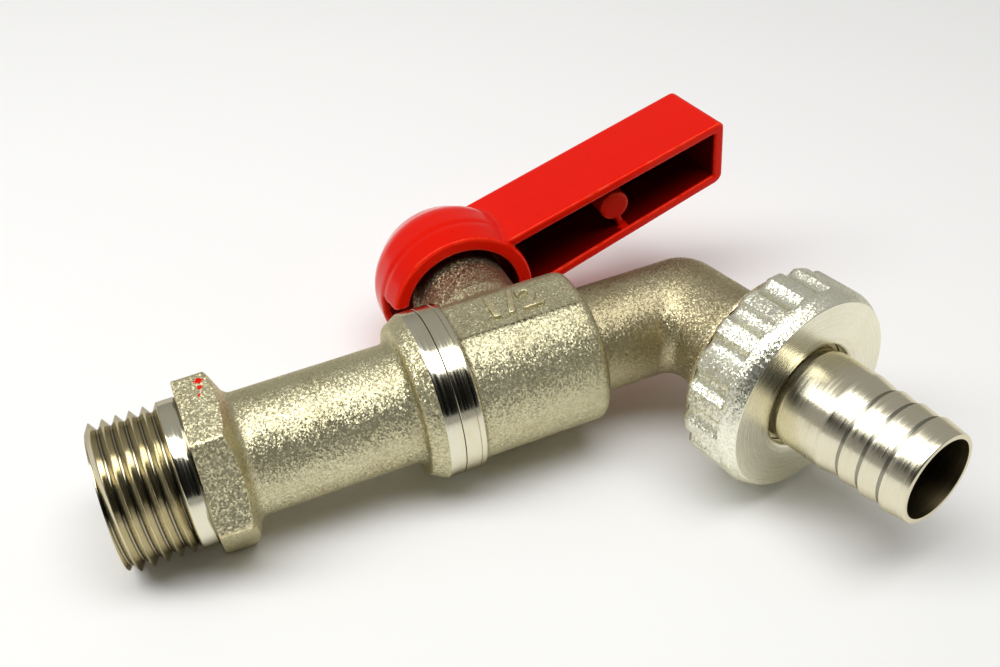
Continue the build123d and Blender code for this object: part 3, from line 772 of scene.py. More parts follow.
def inlet_skin(columns, wander):
    """Thread, land, spanner collar, cast shank and flange of the inlet."""
    skin = Skin()
    part = np.arange(columns) / columns
    angle = part * 2 * math.pi

    def thread(height, turn):
        depth = THREAD_DEPTH * (1 - ease(height, RUN_OUT - 0.75, RUN_OUT))
        cut = THREAD_R - depth * groove(height, turn, THREAD_START, PITCH)
        return np.minimum(cut, THREAD_R - THREAD_CHAMFER + height - THREAD_START)

    skin.add_thread(THREAD_START, RUN_OUT, PITCH, thread, columns)
    hexagon = polygon(angle, COLLAR_FLATS, COLLAR_TURN)
    corner, foot = COLLAR_FLATS / math.sqrt(3), 9.6
    rows = [(RUN_OUT, THREAD_R), (-1.3, THREAD_R), (-0.35, THREAD_R), (-0.12, THREAD_R - 0.12)]
    rows += [(0.0, THREAD_R - 0.1), (0.0, 0.5 * THREAD_R + 0.5 * hexagon), (0.0, hexagon - 0.28)]
    rows += [(0.10, hexagon - 0.08), (0.3, hexagon)]
    for height in np.arange(0.6, COLLAR_END_X + 0.1, 0.13):
        cone = corner - (height - COLLAR_X) / (COLLAR_END_X - COLLAR_X) * (corner - foot)
        flat = hexagon + 2 * wander * wave(10 * np.cos(angle), 10 * np.sin(angle), height, 4.0, 3)
        rows.append((height, -np.logaddexp(-12 * flat, -12 * cone) / 12))
    for share in np.linspace(0.15, 1.0, 7):
        rows.append((COLLAR_END_X + 1.15 * share, SHANK_R + 0.75 * (1 - share) ** 2))
    root = FLANGE_FOOT_X - FLANGE_ROOT
    for height in np.linspace(COLLAR_END_X + 1.5, root, 40):
        rough = wave(SHANK_R * np.cos(angle), SHANK_R * np.sin(angle), height, 6.0, 5)
        rows.append((height, SHANK_R + wander * rough * ease(height, 7.0, 9.0)))
    for bend in np.radians(np.linspace(10, 90, 7)):
        rows.append((root + FLANGE_ROOT * math.sin(bend), SHANK_R + FLANGE_ROOT * (1 - math.cos(bend))))
    lip = wander * wave(FLANGE_R * np.cos(angle), FLANGE_R * np.sin(angle), 0 * angle, 5.0, 8)
    rows += [(29.8, 10.62 + lip), (29.9, 10.9 + lip), (30.1, 11.08 + lip), (31.1, 11.66 + lip)]
    rows += [(31.95, 12.11), (32.12, 12.2), (32.3, FLANGE_R), (33.2, FLANGE_R), (SEAM_X - 0.12, FLANGE_R)]
    rows += [(SEAM_X - 0.06, 12.2), (SEAM_X - 0.04, 11.9), (SEAM_X, 11.8), (SEAM_X, JOINT_R)]
    rows += [(JOINT_END_X, JOINT_R), (JOINT_END_X, SEAT_R), (SEAT_FACE_X, SEAT_R), (SEAT_FACE_X, WATERWAY_R)]
    rows += [(h, WATERWAY_R) for h in spread(SEAT_FACE_X, THREAD_START + 0.3, 12)]
    end = thread(np.full(columns, THREAD_START), part)
    rows += [(THREAD_START + 0.3, WATERWAY_R), (THREAD_START, WATERWAY_R + 0.3), (THREAD_START, end)]
    skin.add_rows(rows, columns)
    return skin


def band_skin(columns):
    """The body's machined band, with the dark seam before it and a fine line near its end."""
    skin = Skin()
    bore = JOINT_R + 0.05
    rows = [(SEAM_X, bore), (SEAM_X, 11.8), (SEAM_X + 0.04, 11.9), (SEAM_X + 0.06, 12.2)]
    rows += [(SEAM_X + 0.12, FLANGE_R), (36.58, FLANGE_R), (36.66, 12.14), (36.74, FLANGE_R)]
    rows += [(37.3, FLANGE_R), (37.42, 12.21), (BARREL_X, 12.1), (BARREL_X, bore), (SEAM_X, bore)]
    skin.add_rows(rows, columns)
    return skin


def body_field(wander):
    """Field of the cast body: barrel with side flats, boss, stop tooth, neck, elbow and waterways."""
    way = np.array(OUTLET)
    inner = np.array((-1.0, 0.0, 0.0)) + way
    inner /= np.linalg.norm(inner)
    slope = np.array((PAD_TOP - FLAT_TOP, FLAT_Y - PAD_TOP_HALF))
    slope /= np.linalg.norm(slope)

    def field(x, y, z):
        across, rho = np.abs(y), np.hypot(y, z)
        pad = np.maximum(across - FLAT_Y, z - PAD_TOP)
        pad = meet(pad, slope[0] * (across - FLAT_Y) + slope[1] * (z - FLAT_TOP), 0.5)
        round_part = np.minimum(rho - BARREL_R, np.maximum(pad, -z))
        parting = 0.05 * np.exp(-(((y - 0.19 * (x - 39)) / 0.3) ** 2)) * (z < 0)
        barrel = meet(round_part - parting, -np.maximum(FLAT_Y - across, FLAT_FOOT - z), 0.06)
        barrel = meet(barrel, meet(rho - FLANGE_R, x - BARREL_END_X, 2.7), 0.6)
        barrel = np.maximum(barrel, BARREL_X - 0.2 - x)
        step = np.maximum(rho - 12.0, np.maximum(x - BARREL_X - 0.12, BARREL_X - 0.2 - x))
        barrel = join(barrel, step, 0.5)
        boss = np.hypot(x - STEM_X, y) - BOSS_R
        boss = meet(np.maximum(boss, -z), z - BOSS_TOP, 0.3)
        along = math.cos(TOOTH_ANGLE) * (x - STEM_X) + math.sin(TOOTH_ANGLE) * y
        aside = -math.sin(TOOTH_ANGLE) * (x - STEM_X) + math.cos(TOOTH_ANGLE) * y
        height = np.abs(z - (ARM_BASE + BOSS_TOP) / 2) - (BOSS_TOP - ARM_BASE) / 2
        stop = meet(np.abs(aside) - TOOTH_HALF, meet(along - TOOTH_R, height, 0.25), 0.25)
        boss = np.minimum(boss, np.maximum(stop, -along))
        u = (x - ELBOW_X) * way[0] + z * way[2]
        side = -(x - ELBOW_X) * way[2] + z * way[0]
        ball = np.sqrt((x - ELBOW_X) ** 2 + rho**2)
        before, after = np.where(x < ELBOW_X, rho, ball), np.where(u > 0, np.hypot(side, y), ball)
        neck = np.maximum(before - NECK_R, BARREL_X - 0.2 - x)
        leg = np.maximum(after - NECK_R, u - SPIGOT_ROOT - 1.0)
        turn = np.clip(((x - ELBOW_X) * inner[0] + z * inner[2]) / NECK_R, 0, 1)
        pipe = join(neck, leg, 1.6 * turn + 1e-6)
        body = join(join(barrel, boss, 0.7), pipe, 0.8)
        body = body + wander * wave(x, y, z, 5.5, 11)
        bore = np.minimum(before, after) - WATERWAY_R
        for radius, end in ((JOINT_R + 0.05, 40.1), (CAVITY_R, 50.3), (SEAT_R, 53.6)):
            bore = np.minimum(bore, np.maximum(rho - radius, x - end))
        shaft = np.hypot(x - STEM_X, y)
        bore = np.minimum(bore, np.maximum(shaft - 5.65, np.maximum(z - 10.9, -z)))
        bore = np.minimum(bore, np.maximum(shaft - 4.05, -z))
        return np.maximum(body, -bore)

    return field


def spigot_skin(columns):
    """The cone and thread that the union nut screws on to."""
    skin = Skin()
    part = np.arange(columns) / columns

    def thread(height, turn):
        depth = THREAD_DEPTH * ease(height, SPIGOT_START, SPIGOT_START + 0.7)
        cut = UNION_R - depth * groove(height, turn, SPIGOT_START, PITCH)
        return np.minimum(cut, UNION_R - 0.7 + SPIGOT_END - height)

    skin.add_thread(SPIGOT_START, SPIGOT_END, PITCH, thread, columns)
    end = thread(np.full(columns, SPIGOT_END), part)
    rows = [(SPIGOT_END, end), (SPIGOT_END, WATERWAY_R + 0.3), (SPIGOT_END - 0.3, WATERWAY_R)]
    rows += [(SPIGOT_ROOT - 0.4, WATERWAY_R), (SPIGOT_ROOT - 0.4, 7.6), (SPIGOT_ROOT, NECK_R)]
    reach = SPIGOT_START - SPIGOT_ROOT - 0.4
    for share in np.linspace(0.12, 1.0, 8):
        rows.append((SPIGOT_ROOT + reach * share, NECK_R + (UNION_R - NECK_R) * share**1.15))
    rows += [(SPIGOT_START, UNION_R)]
    skin.add_rows(rows, columns)
    return skin


def nut_skin(columns):
    """Union nut: cast flutes with a smooth rim, turned front face and a screwed bore."""
    skin = Skin()
    angle = np.arange(columns) / columns * 2 * math.pi
    pitch = 2 * math.pi / FLUTES
    offset = (angle - math.radians(6) + pitch / 2) % pitch - pitch / 2
    centre = NUT_R + FLUTE_R - FLUTE_DEPTH
    reach = np.maximum(FLUTE_R**2 - (centre * np.sin(offset)) ** 2, 0)
    hollow = np.where(reach > 0, centre * np.cos(offset) - np.sqrt(reach), NUT_R + 1)
    fluted = -np.logaddexp(-12 * NUT_R * np.ones(columns), -12 * hollow) / 12
    depth = np.maximum(NUT_R - fluted, 0)
    bore = UNION_R + 0.05
    rows = [(NUT_REAR, bore + 0.3), (NUT_REAR, NUT_R - 1.1 - depth)]
    for bend in np.radians(np.linspace(15, 90, 6)):
        rows.append((NUT_REAR + 1.0 - math.cos(bend), NUT_R - 1.0 + math.sin(bend) - depth))
    heights = [*np.linspace(NUT_REAR + 1.5, FLUTE_END - 0.8, 8), *np.linspace(FLUTE_END - 0.6, FLUTE_END, 11)]
    rows += [(h, NUT_R - depth * (1 - ease(h, FLUTE_END - 0.4, FLUTE_END))) for h in heights]
    bevel, hole = NUT_FRONT - 1.6, NUT_HOLE_R
    front = [(bevel - 0.9, NUT_R, 0), (bevel, NUT_R, 0.89), (NUT_FRONT, 14.4, 0.12), (NUT_FRONT, 12.0, 0)]
    rows += rounded(front, 8)
    rows += [(NUT_FRONT, 10.0), (NUT_FRONT, hole + 0.45), (NUT_FRONT - 0.12, hole + 0.15)]
    rows += [(NUT_FRONT - 0.3, hole), (NUT_LIP, hole), (NUT_LIP, bore), (20.6, bore), (NUT_THREAD_END, bore)]
    skin.add_rows(rows, columns)

    def thread(height, turn):
        run_out = 1 - ease(height, NUT_THREAD_END - 0.7, NUT_THREAD_END)
        depth = THREAD_DEPTH * ease(height, NUT_REAR + 0.3, NUT_REAR + 0.9) * run_out
        return bore - depth * groove(height, turn, SPIGOT_START, PITCH)

    skin.add_thread(NUT_REAR + 0.3, NUT_THREAD_END, PITCH, thread, columns)
    skin.add_rows([(NUT_REAR + 0.3, bore), (NUT_REAR, bore + 0.3)], columns)
    return skin


def tail_skin(columns):
    """Hose tail: flange, plain seat and three barbs whose shoulders face the nut."""
    skin = Skin()
    flange, relief = 12.4, 7.1
    corners = [(TAIL_BACK, TAIL_BORE_R, 0), (TAIL_BACK, flange, 0.2), (TAIL_FLANGE, flange, 0.2)]
    corners += [(TAIL_FLANGE, relief, 0.15), (26.2, relief, 0), (26.2, TAIL_R, 0.08), (33.0, TAIL_R, 0.25)]
    for start in BARBS:
        corners += [(start - 0.7, BARB_ROOT_R + 0.12, 0), (start, BARB_ROOT_R, 0.03)]
        corners += [(start, BARB_CREST_R - 0.01, 0.08)]
    corners += [(TAIL_END, BARB_ROOT_R, 0.22), (TAIL_END, TAIL_BORE_R, 0.1)]
    rows = []
    for height, radius in rounded(corners):
        if rows and height - rows[-1][0] > 1.2:
            last = rows[-1]
            for share in np.linspace(0, 1, 6)[1:-1]:
                rows.append((last[0] + (height - last[0]) * share, last[1] + (radius - last[1]) * share))
        rows.append((height, radius))
    rows += [(h, TAIL_BORE_R) for h in spread(TAIL_END - 0.2, TAIL_BACK, 10)] + [rows[0]]
    skin.add_rows(rows, columns)
    return skin


def stem_skin(columns):
    """Stem: tang, shoulder, sealed shaft, square and screwed stud."""
    skin = Skin()
    angle = np.arange(columns) / columns * 2 * math.pi
    tang = ((np.abs(np.cos(angle)) / 2.0) ** 40 + (np.abs(np.sin(angle)) / 4.03) ** 40) ** (-1 / 40)
    square = polygon(angle, 5.6, math.pi / 4, 4, 60)
    rows = [(6.0, 0.001), (6.0, tang - 0.2), (6.2, tang), (8.8, tang), (8.8, 5.4), (9.0, 5.6)]
    rows += [(10.1, 5.6), (10.3, 5.4), (10.3, STEM_R)]
    for low, high in ((13.35, 15.05), (16.75, 18.45)):
        rows += [(low, STEM_R), (low, STEM_R - 1), (high, STEM_R - 1), (high, STEM_R)]
    rows += [(21.7, STEM_R), (21.7, square), (STUD_FOOT - 0.2, square), (STUD_FOOT, square - 0.2)]
    skin.add_rows(rows + [(STUD_FOOT, STUD_R)], columns)

    def thread(height, turn):
        depth = 0.45 * ease(height, STUD_FOOT, STUD_FOOT + 0.6)
        cut = STUD_R - depth * groove(height, turn, STUD_FOOT, STUD_PITCH)
        return np.minimum(cut, STUD_R - 0.5 + STUD_END - height)

    skin.add_thread(STUD_FOOT, STUD_END, STUD_PITCH, thread, columns)
    rim = thread(np.full(columns, STUD_END), np.arange(columns) / columns)
    skin.add_rows([(STUD_END, rim), (STUD_END, 0.001)], columns)
    return skin


def handle_nut_skin(columns):
    """Hexagon nut on the stud, chamfered on both faces."""
    skin = Skin()
    angle = np.arange(columns) / columns * 2 * math.pi
    hexagon = polygon(angle, STUD_NUT_FLATS, 0.0, 6, 90)
    low, high, face = STUD_NUT_LOW, STUD_NUT_HIGH, 3.95
    rows = [(low, 2.9), (low, np.minimum(hexagon, face))]
    for height in np.linspace(low + 0.05, high - 0.05, 22):
        cone = face + 1.6 * np.minimum(height - low, high - height)
        rows.append((height, np.minimum(hexagon, cone)))
    rows += [(high, np.minimum(hexagon, face)), (high, 2.9)]
    rows += [(high - 0.35, 2.55), (low + 0.35, 2.55), (low, 2.9)]
    skin.add_rows(rows, columns)
    return skin


def past_tip(x, y, z):
    """How far a point lies beyond the arm's end face, which is skewed and leans."""
    along = x + ARM_SKEW * y + ARM_LEAN * (z - ARM_BASE) - ARM_LENGTH
    return along / math.sqrt(1 + ARM_SKEW**2 + ARM_LEAN**2)


def lever_field():
    """Field of the lever in its own frame: hollow arm, skirted hub, stop slot and fixing recess."""
    slot_middle = TOOTH_ANGLE + math.radians(45)

    def field(x, y, z):
        half = ARM_WIDTH / 2 - 0.06 - ARM_TAPER * x
        tip = past_tip(x, y, z) + 0.06
        arm = meet(np.abs(y) - half, tip, 1.2)
        arm = meet(np.maximum(arm, -x), z - ARM_TOP, 0.8)
        arm = meet(arm, ARM_BASE - z, 0.35)
        channel = np.maximum(np.abs(y) - half + ARM_WALL, np.maximum(-x, tip + ARM_WALL))
        channel = np.maximum(channel, z - ARM_TOP + ARM_WALL)
        arm = meet(arm, -channel, 0.3)
        post = np.hypot(x - POST_X, y) - POST_R
        rib = np.maximum(np.abs(x - POST_X) - 0.5, np.maximum(-y, y - half + 0.6))
        post = meet(np.maximum(np.minimum(post, rib), z - ARM_TOP + 1.1), POST_Z - z, 0.3)
        arm = join(arm, post, 0.3)
        rho = np.hypot(x, y)
        ridge_r = HUB_R - 0.12
        slope = (ridge_r - HUB_TOP_R) / (HUB_TOP - HUB_RIDGE_Z)
        drum = HUB_R - 0.12 * np.clip((z - CEILING_Z) / (HUB_RIDGE_Z - CEILING_Z), 0, 1)
        skirt = RIM_R + 0.65 * np.clip((z - RIM_Z) / 3.9, 0, 1)
        line = 0.2 * np.exp(-(((z - CEILING_Z + 0.25) / 0.5) ** 2))
        wall = skirt + (drum - skirt) * ease(z, CEILING_Z - 0.8, CEILING_Z + 0.2) - line
        crown = (rho - ridge_r + slope * (z - HUB_RIDGE_Z)) / math.hypot(1, slope)
        hub = meet(meet(rho - wall, crown, 0.55), z - HUB_TOP + 0.02, 1.3)
        hub = meet(hub, RIM_Z - z, 0.4)
        whole = join(arm, hub, 0.45)
        whole = meet(whole, -np.maximum(rho - SKIRT_BORE_R, z - CEILING_Z), 0.3)
        way = np.arctan2(y, x)
        middle = np.abs((way - slot_middle + math.pi) % (2 * math.pi) - math.pi)
        reach = rho * np.sin(np.clip(middle - math.radians(45), -1.2, 1.2)) - TOOTH_HALF - 0.35
        slot = np.maximum(np.maximum(reach, SKIRT_BORE_R - 0.8 - rho), z - CEILING_Z)
        whole = meet(whole, -slot, 0.2)
        drive = np.maximum(np.maximum(np.abs(x), np.abs(y)) - 2.85, np.abs(z - 24) - 4)
        whole = np.maximum(whole, -drive)
        return meet(whole, -np.maximum(rho - 6.4, HUB_TOP - 5.4 - z), 0.3)

    return field


# Finishes of the faces by place, a later one over an earlier one


def inlet_zones(x, y, z, r):
    """Collar, thread, turned land and flange, seam, waterway and flecks of red paint on the collar."""
    yield "collar_plate", (z > 0.05) & (z < COLLAR_END_X + 0.2) & (r > WATERWAY_R + 1)
    yield "thread_plate", (z < 0.05) | (r < WATERWAY_R + 0.2)
    yield "turned_plate", (z > RUN_OUT - 0.2) & (z < 0.02) & (r > 10.2)
    yield "turned_plate", (z > FLANGE_EDGE_X) & (r > 9)
    yield "seam_dirt", (z > SEAM_X - 0.07) & (r > 11.7)
    yield "bore_plate", r < WATERWAY_R + 0.05
    flecks = np.hypot((x + 11.5) * 2, y - 4.0) + np.abs(z - 3.55) * 0.8 < 0.62
    flecks |= np.hypot((x + 11.4) * 2, y - 2.7) + np.abs(z - 3.45) < 0.5
    flecks |= np.hypot((x + 11.3) * 2, y - 1.25) + np.abs(z - 3.1) < 0.3
    yield "red_enamel", flecks


def body_zones(x, y, z, r):
    """Boss and neck, both partly painted shade, and a broken line of painted shade at the foot of the flats.
    """
    # Boss: coarser grain, with painted shade and a painted red reflection.
    yield "boss_plate", (np.hypot(x - STEM_X, y) < BOSS_R + 4) & (z > PAD_TOP + 0.4)
    # Neck: stronger stains, and painted shade.
    yield "neck_plate", x > BARREL_END_X - 0.1
    # Painted shade: a broken line along the foot of the flats.
    foot = (np.abs(z - FLAT_FOOT) < 0.16) & (np.abs(y) > FLAT_Y - 0.3) & (np.abs(x - 46.6) < 8.6)
    yield "step_dirt", foot & (np.sin(21 * x) + np.sin(13.7 * x) > 0.1)


def band_zones(x, y, z, r):
    """Dark seam before the band."""
    yield "seam_dirt", (z < SEAM_X + 0.07) & (r > 11.7)


def spigot_zones(x, y, z, r):
    """Thread of the spigot."""
    yield "thread_plate", z > SPIGOT_START


def lever_zones(x, y, z, r):
    """Painted shade inside the arm and skirt, and painted light on their lower rims."""
    channel = (past_tip(x, y, z) < 0.1 - ARM_WALL) & (r > RIM_R) & (x > 0)
    channel &= np.abs(y) < ARM_WIDTH / 2 - ARM_WALL + 0.25 - ARM_TAPER * x
    channel &= (z > ARM_BASE + 0.6) & (z < ARM_TOP - ARM_WALL + 0.1)
    channel &= np.hypot(x - POST_X, y) > POST_R + 0.2
    channel &= (np.abs(x - POST_X) > 0.7) | (y < 0) | (z > POST_Z + 2)
    # Painted shade: the inside of the arm's channel, away from the post and its rib.
    yield "channel_enamel", channel
    # Painted shade: the inside of the skirt.
    yield "channel_enamel", (r < RIM_R - 0.4) & (z > RIM_Z + 0.4) & (z < CEILING_Z + 0.2)
    # Painted light: the lower rims of the skirt and arm made brighter.
    yield "rim_enamel", (z < RIM_Z + 0.3) | ((z < ARM_BASE + 0.3) & (r > HUB_R))


def nut_zones(x, y, z, r):
    """Turned front face and screwed bore of the union nut."""
    yield "face_plate", (z > NUT_FRONT - 0.2) | (r < UNION_R - 0.2)
    yield "thread_plate", (z < NUT_LIP) & (r < UNION_R + 0.3)


def tail_zones(x, y, z, r):
    """Bore of the tail, and painted shade on the step before each barb."""
    yield "bore_plate", r < TAIL_BORE_R + 0.05
    for start in BARBS:
        # Painted shade just before each barb's step.
        yield "tail_shade", (np.abs(z - start + 0.35) < 0.4) & (r > 6) & (r < BARB_ROOT_R + 0.3)


# Operators


class TapOperator:
    """What the operators share."""

    bl_options = {"REGISTER"}


class OBJECT_OT_tap_inlet(TapOperator, bpy.types.Operator):
    """Inlet with its screw thread, spanner collar, cast shank and flange"""

    bl_idname = "object.tap_inlet"
    bl_label = "Inlet"

    def execute(self, context):
        sizes = settings()[0]
        inlet = inlet_skin(sizes.columns, sizes.cast_wave).object("inlet", INLET_FRAME)
        dress(inlet, "tap_body", "plated_brass", "cast_plate", "inlet_shank")
        paint_zones(inlet, INLET_FRAME, inlet_zones)
        return {"FINISHED"}


class OBJECT_OT_tap_body(TapOperator, bpy.types.Operator):
    """Cast body with its machined band and the union's spigot"""

    bl_idname = "object.tap_body"
    bl_label = "Valve body"

    def execute(self, context):
        sizes = settings()[0]
        low, high, frame = (BARREL_X - 1.5, -13.2, -17.2), (86.6, 13.2, 22.0), Matrix.Identity(4)
        body = net("body_casting", body_field(sizes.cast_wave), low, high, sizes.cast_step, frame)
        dress(body, "tap_body", "plated_brass", "cast_plate", "valve_body")
        paint_zones(body, frame, body_zones)
        band = band_skin(sizes.columns).object("body_band", INLET_FRAME)
        dress(band, "tap_body", "plated_brass", "turned_plate")
        paint_zones(band, INLET_FRAME, band_zones)
        spigot = spigot_skin(sizes.columns).object("union_spigot", OUTLET_FRAME)
        # The spigot takes the neck's finish: stronger stains and painted shade.
        dress(spigot, "tap_body", "plated_brass", "neck_plate")
        paint_zones(spigot, OUTLET_FRAME, spigot_zones)
        return {"FINISHED"}


class OBJECT_OT_tap_size_mark(TapOperator, bpy.types.Operator):
    """Raised size number on the barrel's flat, with a line of painted shade round it"""

    bl_idname = "object.tap_size_mark"
    bl_label = "Size mark"

    def execute(self, context):
        for name, finish, widen, rise in (
            ("size_mark", "mark_plate", 0.05, 0.24),
            # A wider, lower copy of the number: painted shade round it.
            ("size_edge", "mark_shade", 0.24, 0.02),
        ):
            curve = bpy.data.curves.new(name, "FONT")
            curve.body = "1/2"
            curve.align_x = curve.align_y = "CENTER"
            curve.size = settings()[0].mark_height * 1.35 * MM
            curve.space_character = 1.1
            curve.extrude = rise * MM
            curve.bevel_depth = 0.8 * rise * MM
            curve.bevel_resolution = 3
            curve.offset = widen * MM
            words = bpy.data.objects.new(name + "_line", curve)
            bpy.context.scene.collection.objects.link(words)
            mesh = bpy.data.meshes.new_from_object(words.evaluated_get(context.evaluated_depsgraph_get()))
            mesh.name = name
            bpy.data.objects.remove(words)
            frame = facing(Vector((47.3, -FLAT_Y, 0.7)) * MM, (0, -1, 0), (1, 0, 0))
            dress(finish_mesh(mesh, frame, 60.0), "tap_body", "plated_brass", finish)
        return {"FINISHED"}


class OBJECT_OT_tap_lever(TapOperator, bpy.types.Operator):
    """Red lever with its hollow arm and skirted hub"""

    bl_idname = "object.tap_lever"
    bl_label = "Lever"

    def execute(self, context):
        step = settings()[0].lever_step
        lever = net("lever_arm", lever_field(), (-13.0, -13.0, 16.6), (50.2, 13.0, 32.9), step, LEVER_FRAME)
        dress(lever, "lever", "red_paint", "red_enamel", "lever")
        paint_zones(lever, LEVER_FRAME, lever_zones)
        return {"FINISHED"}


class OBJECT_OT_tap_fixing(TapOperator, bpy.types.Operator):
    """Stem and the nut that holds the lever on it"""

    bl_idname = "object.tap_fixing"
    bl_label = "Stem and handle nut"

    def execute(self, context):
        stem = stem_skin(120).object("stem_stud", LEVER_FRAME)
        dress(stem, "lever", "stem_brass", "stem_brass", "stem")
        nut = handle_nut_skin(144).object("stud_nut", LEVER_FRAME, 25.0)
        dress(nut, "lever", "zinc_steel", "zinc", "handle_nut")
        return {"FINISHED"}


class OBJECT_OT_tap_union(TapOperator, bpy.types.Operator):
    """Union nut and hose tail"""

    bl_idname = "object.tap_union"
    bl_label = "Union nut and hose tail"

    def execute(self, context):
        columns = settings()[0].columns
        nut = nut_skin(columns * 5 // 4).object("fluted_nut", OUTLET_FRAME)
        dress(nut, "union_nut", "plated_brass", "nut_plate", "union_nut")
        paint_zones(nut, OUTLET_FRAME, nut_zones)
        tail = tail_skin(columns).object("barbed_tail", OUTLET_FRAME)
        dress(tail, "hose_tail", "turned_brass", "tail_plate", "hose_tail")
        paint_zones(tail, OUTLET_FRAME, tail_zones)
        return {"FINISHED"}


class OBJECT_OT_tap_inner(TapOperator, bpy.types.Operator):
    """Finishes of the ball, seats, seals and washers"""

    bl_idname = "object.tap_inner"
    bl_label = "Inner pieces"

    def execute(self, context):
        inner = {
            "ball_chrome": ("ball",),
            "seat_plastic": ("seat_inlet", "seat_outlet", "thrust_washer"),
            "seal_rubber": ("seal_lower", "seal_upper", "union_washer"),
            "zinc": ("handle_washer",),
        }
        for finish, names in inner.items():
            for name in names:
                mesh = FRAME["nodes"][name].data
                mesh.materials.clear()
                mesh.materials.append(finish_named(finish))
        return {"FINISHED"}


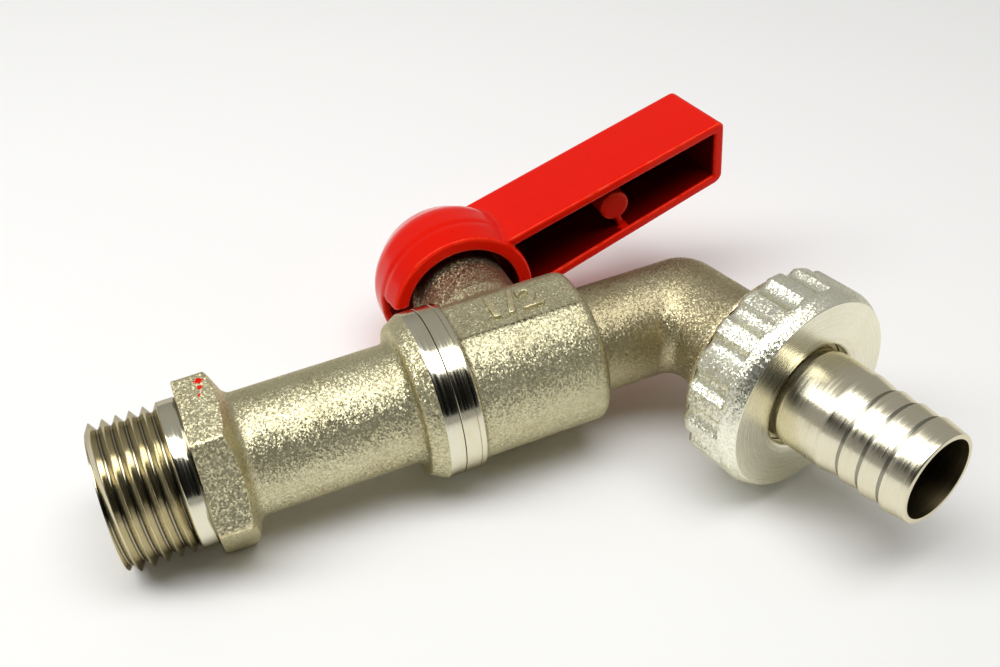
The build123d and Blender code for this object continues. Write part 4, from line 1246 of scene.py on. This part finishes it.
class OBJECT_OT_tap_stage(TapOperator, bpy.types.Operator):
    """Floor, light and camera"""

    bl_idname = "object.tap_stage"
    bl_label = "Stage"

    def execute(self, context):
        stage = settings()[2]
        scene = context.scene
        scene.view_settings.view_transform = "Standard"
        up = Vector(FLOOR_UP).normalized()
        place = Vector(EYE) * MM
        camera = bpy.data.objects.new("camera", bpy.data.cameras.new("camera"))
        camera.matrix_world = facing(place, -Vector(EYE_FORWARD), Vector(EYE_FORWARD).cross(Vector(EYE_TOP)))
        camera.data.sensor_width = 36.0
        camera.data.lens = stage.focal_length
        camera.data.clip_start = 0.005
        scene.collection.objects.link(camera)
        scene.camera = camera

        context.view_layer.update()
        lowest = min(
            (o.matrix_world @ Vector(v.co)).dot(up)
            for o in scene.objects
            if o.type == "MESH" and not o.hide_render
            for v in o.data.vertices
        )
        middle = Vector((0.045, 0, 0))
        foot = middle + up * (lowest - middle.dot(up))
        front = (place - foot) - up * (place - foot).dot(up)
        front.normalize()
        side = front.cross(up).normalized()

        def leaning(degrees):
            return up * math.cos(math.radians(degrees)) + front * math.sin(math.radians(degrees))

        self.floor(scene, facing(foot, up, front), stage)
        toward = leaning(STRIP_LEAN)
        self.strip(scene, facing(foot + toward * STRIP_AWAY + side * STRIP_ASIDE, toward, side), stage)
        toward = leaning(CARD_LEAN)
        self.card(scene, facing(foot + toward * CARD_AWAY, -toward, side))
        self.room(scene, stage)
        return {"FINISHED"}

    def sheet(self, scene, name, frame, width, length):
        """A flat rectangle that faces along its frame's Z."""
        mesh = bpy.data.meshes.new(name)
        w, h = width / 2, length / 2
        mesh.from_pydata([(-w, -h, 0), (w, -h, 0), (w, h, 0), (-w, h, 0)], [], [(0, 1, 2, 3)])
        sheet = bpy.data.objects.new(name, mesh)
        sheet.matrix_world = frame
        scene.collection.objects.link(sheet)
        sheet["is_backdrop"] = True
        return sheet

    def floor(self, scene, frame, stage):
        """A wide pale floor that can be seen through from below."""
        floor = self.sheet(scene, "floor", frame, FLOOR_SIDE, FLOOR_SIDE)
        finish, nodes, surface, place = new_finish("floor_paper", Roughness=0.7, Specular_IOR_Level=0.15)
        cloud = nodes.noise(place, 6.0, 2.0)
        tint = nodes.mix(nodes.range(cloud, 0.3, 0.7), stage.floor, tinted(stage.floor, 0.985))
        nodes.finish(surface, Base_Color=tint)
        clear = nodes.add("BsdfTransparent").outputs[0]
        behind = nodes.add("NewGeometry").outputs["Backfacing"]
        solid = finish.node_tree.nodes["Principled BSDF"].outputs[0]
        both = nodes.add("MixShader", {0: behind, 1: solid, 2: clear}).outputs[0]
        nodes.finish(finish.node_tree.nodes["Material Output"].inputs, Surface=both)
        floor.data.materials.append(finish)

    def strip(self, scene, frame, stage):
        """A long soft light overhead, a little to the camera's side."""
        light = bpy.data.lights.new("overhead_strip", "AREA")
        light.shape = "RECTANGLE"
        light.size = STRIP_LENGTH
        light.size_y = STRIP_WIDTH
        light.energy = stage.strip_power
        lamp = bpy.data.objects.new("overhead_strip", light)
        lamp.visible_camera = False
        lamp.matrix_world = frame
        scene.collection.objects.link(lamp)

    def card(self, scene, frame):
        """A black card on the camera's side, which bright metal shows as a dark band."""
        card = self.sheet(scene, "dark_card", frame, CARD_LENGTH, CARD_WIDTH)
        finish, nodes, surface, place = new_finish("card_felt", Roughness=0.9, Specular_IOR_Level=0.0)
        pile = nodes.noise(place, 400.0, 2.0)
        nodes.finish(surface, Base_Color=nodes.mix(pile, (0.006, 0.006, 0.006), (0.012, 0.012, 0.012)))
        card.data.materials.append(finish)
        card.visible_camera = False

    def room(self, scene, stage):
        """Even pale light from all round."""
        world = bpy.data.worlds.new("room")
        world.use_nodes = True
        background = world.node_tree.nodes["Background"]
        background.inputs["Color"].default_value = (1.0, 0.985, 0.955, 1.0)
        background.inputs["Strength"].default_value = stage.room
        scene.world = world


class VIEW3D_PT_tap(bpy.types.Panel):
    """Panel with the tap's settings and its operators"""

    bl_idname = "VIEW3D_PT_tap"
    bl_label = "Bib tap"
    bl_space_type = "VIEW_3D"
    bl_region_type = "UI"
    bl_category = "Bib tap"

    def draw(self, context):
        for group in settings():
            box = self.layout.box()
            for name in group.bl_rna.properties.keys():
                if name not in ("rna_type", "name"):
                    box.prop(group, name)
        for operator in OPERATORS:
            self.layout.operator(operator.bl_idname)


OPERATORS = (
    OBJECT_OT_tap_inlet,
    OBJECT_OT_tap_body,
    OBJECT_OT_tap_size_mark,
    OBJECT_OT_tap_lever,
    OBJECT_OT_tap_fixing,
    OBJECT_OT_tap_union,
    OBJECT_OT_tap_inner,
    OBJECT_OT_tap_stage,
)
CLASSES = (TapSizes, TapFinishes, TapStage, *OPERATORS, VIEW3D_PT_tap)


def register():
    for kind in CLASSES:
        bpy.utils.register_class(kind)
    bpy.types.Scene.tap_sizes = bpy.props.PointerProperty(type=TapSizes)
    bpy.types.Scene.tap_finishes = bpy.props.PointerProperty(type=TapFinishes)
    bpy.types.Scene.tap_stage = bpy.props.PointerProperty(type=TapStage)


def unregister():
    for name in ("tap_sizes", "tap_finishes", "tap_stage"):
        delattr(bpy.types.Scene, name)
    for kind in reversed(CLASSES):
        bpy.utils.unregister_class(kind)


def main():
    register()
    bpy.ops.object.tap_inlet()
    bpy.ops.object.tap_body()
    bpy.ops.object.tap_size_mark()
    bpy.ops.object.tap_lever()
    bpy.ops.object.tap_fixing()
    bpy.ops.object.tap_union()
    bpy.ops.object.tap_inner()
    bpy.ops.object.tap_stage()
    low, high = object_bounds()
    boxes = {"cad": [list(CAD_LOW), list(CAD_HIGH)], "visual": [list(low), list(high)]}


if __name__ == "__main__":
    main()
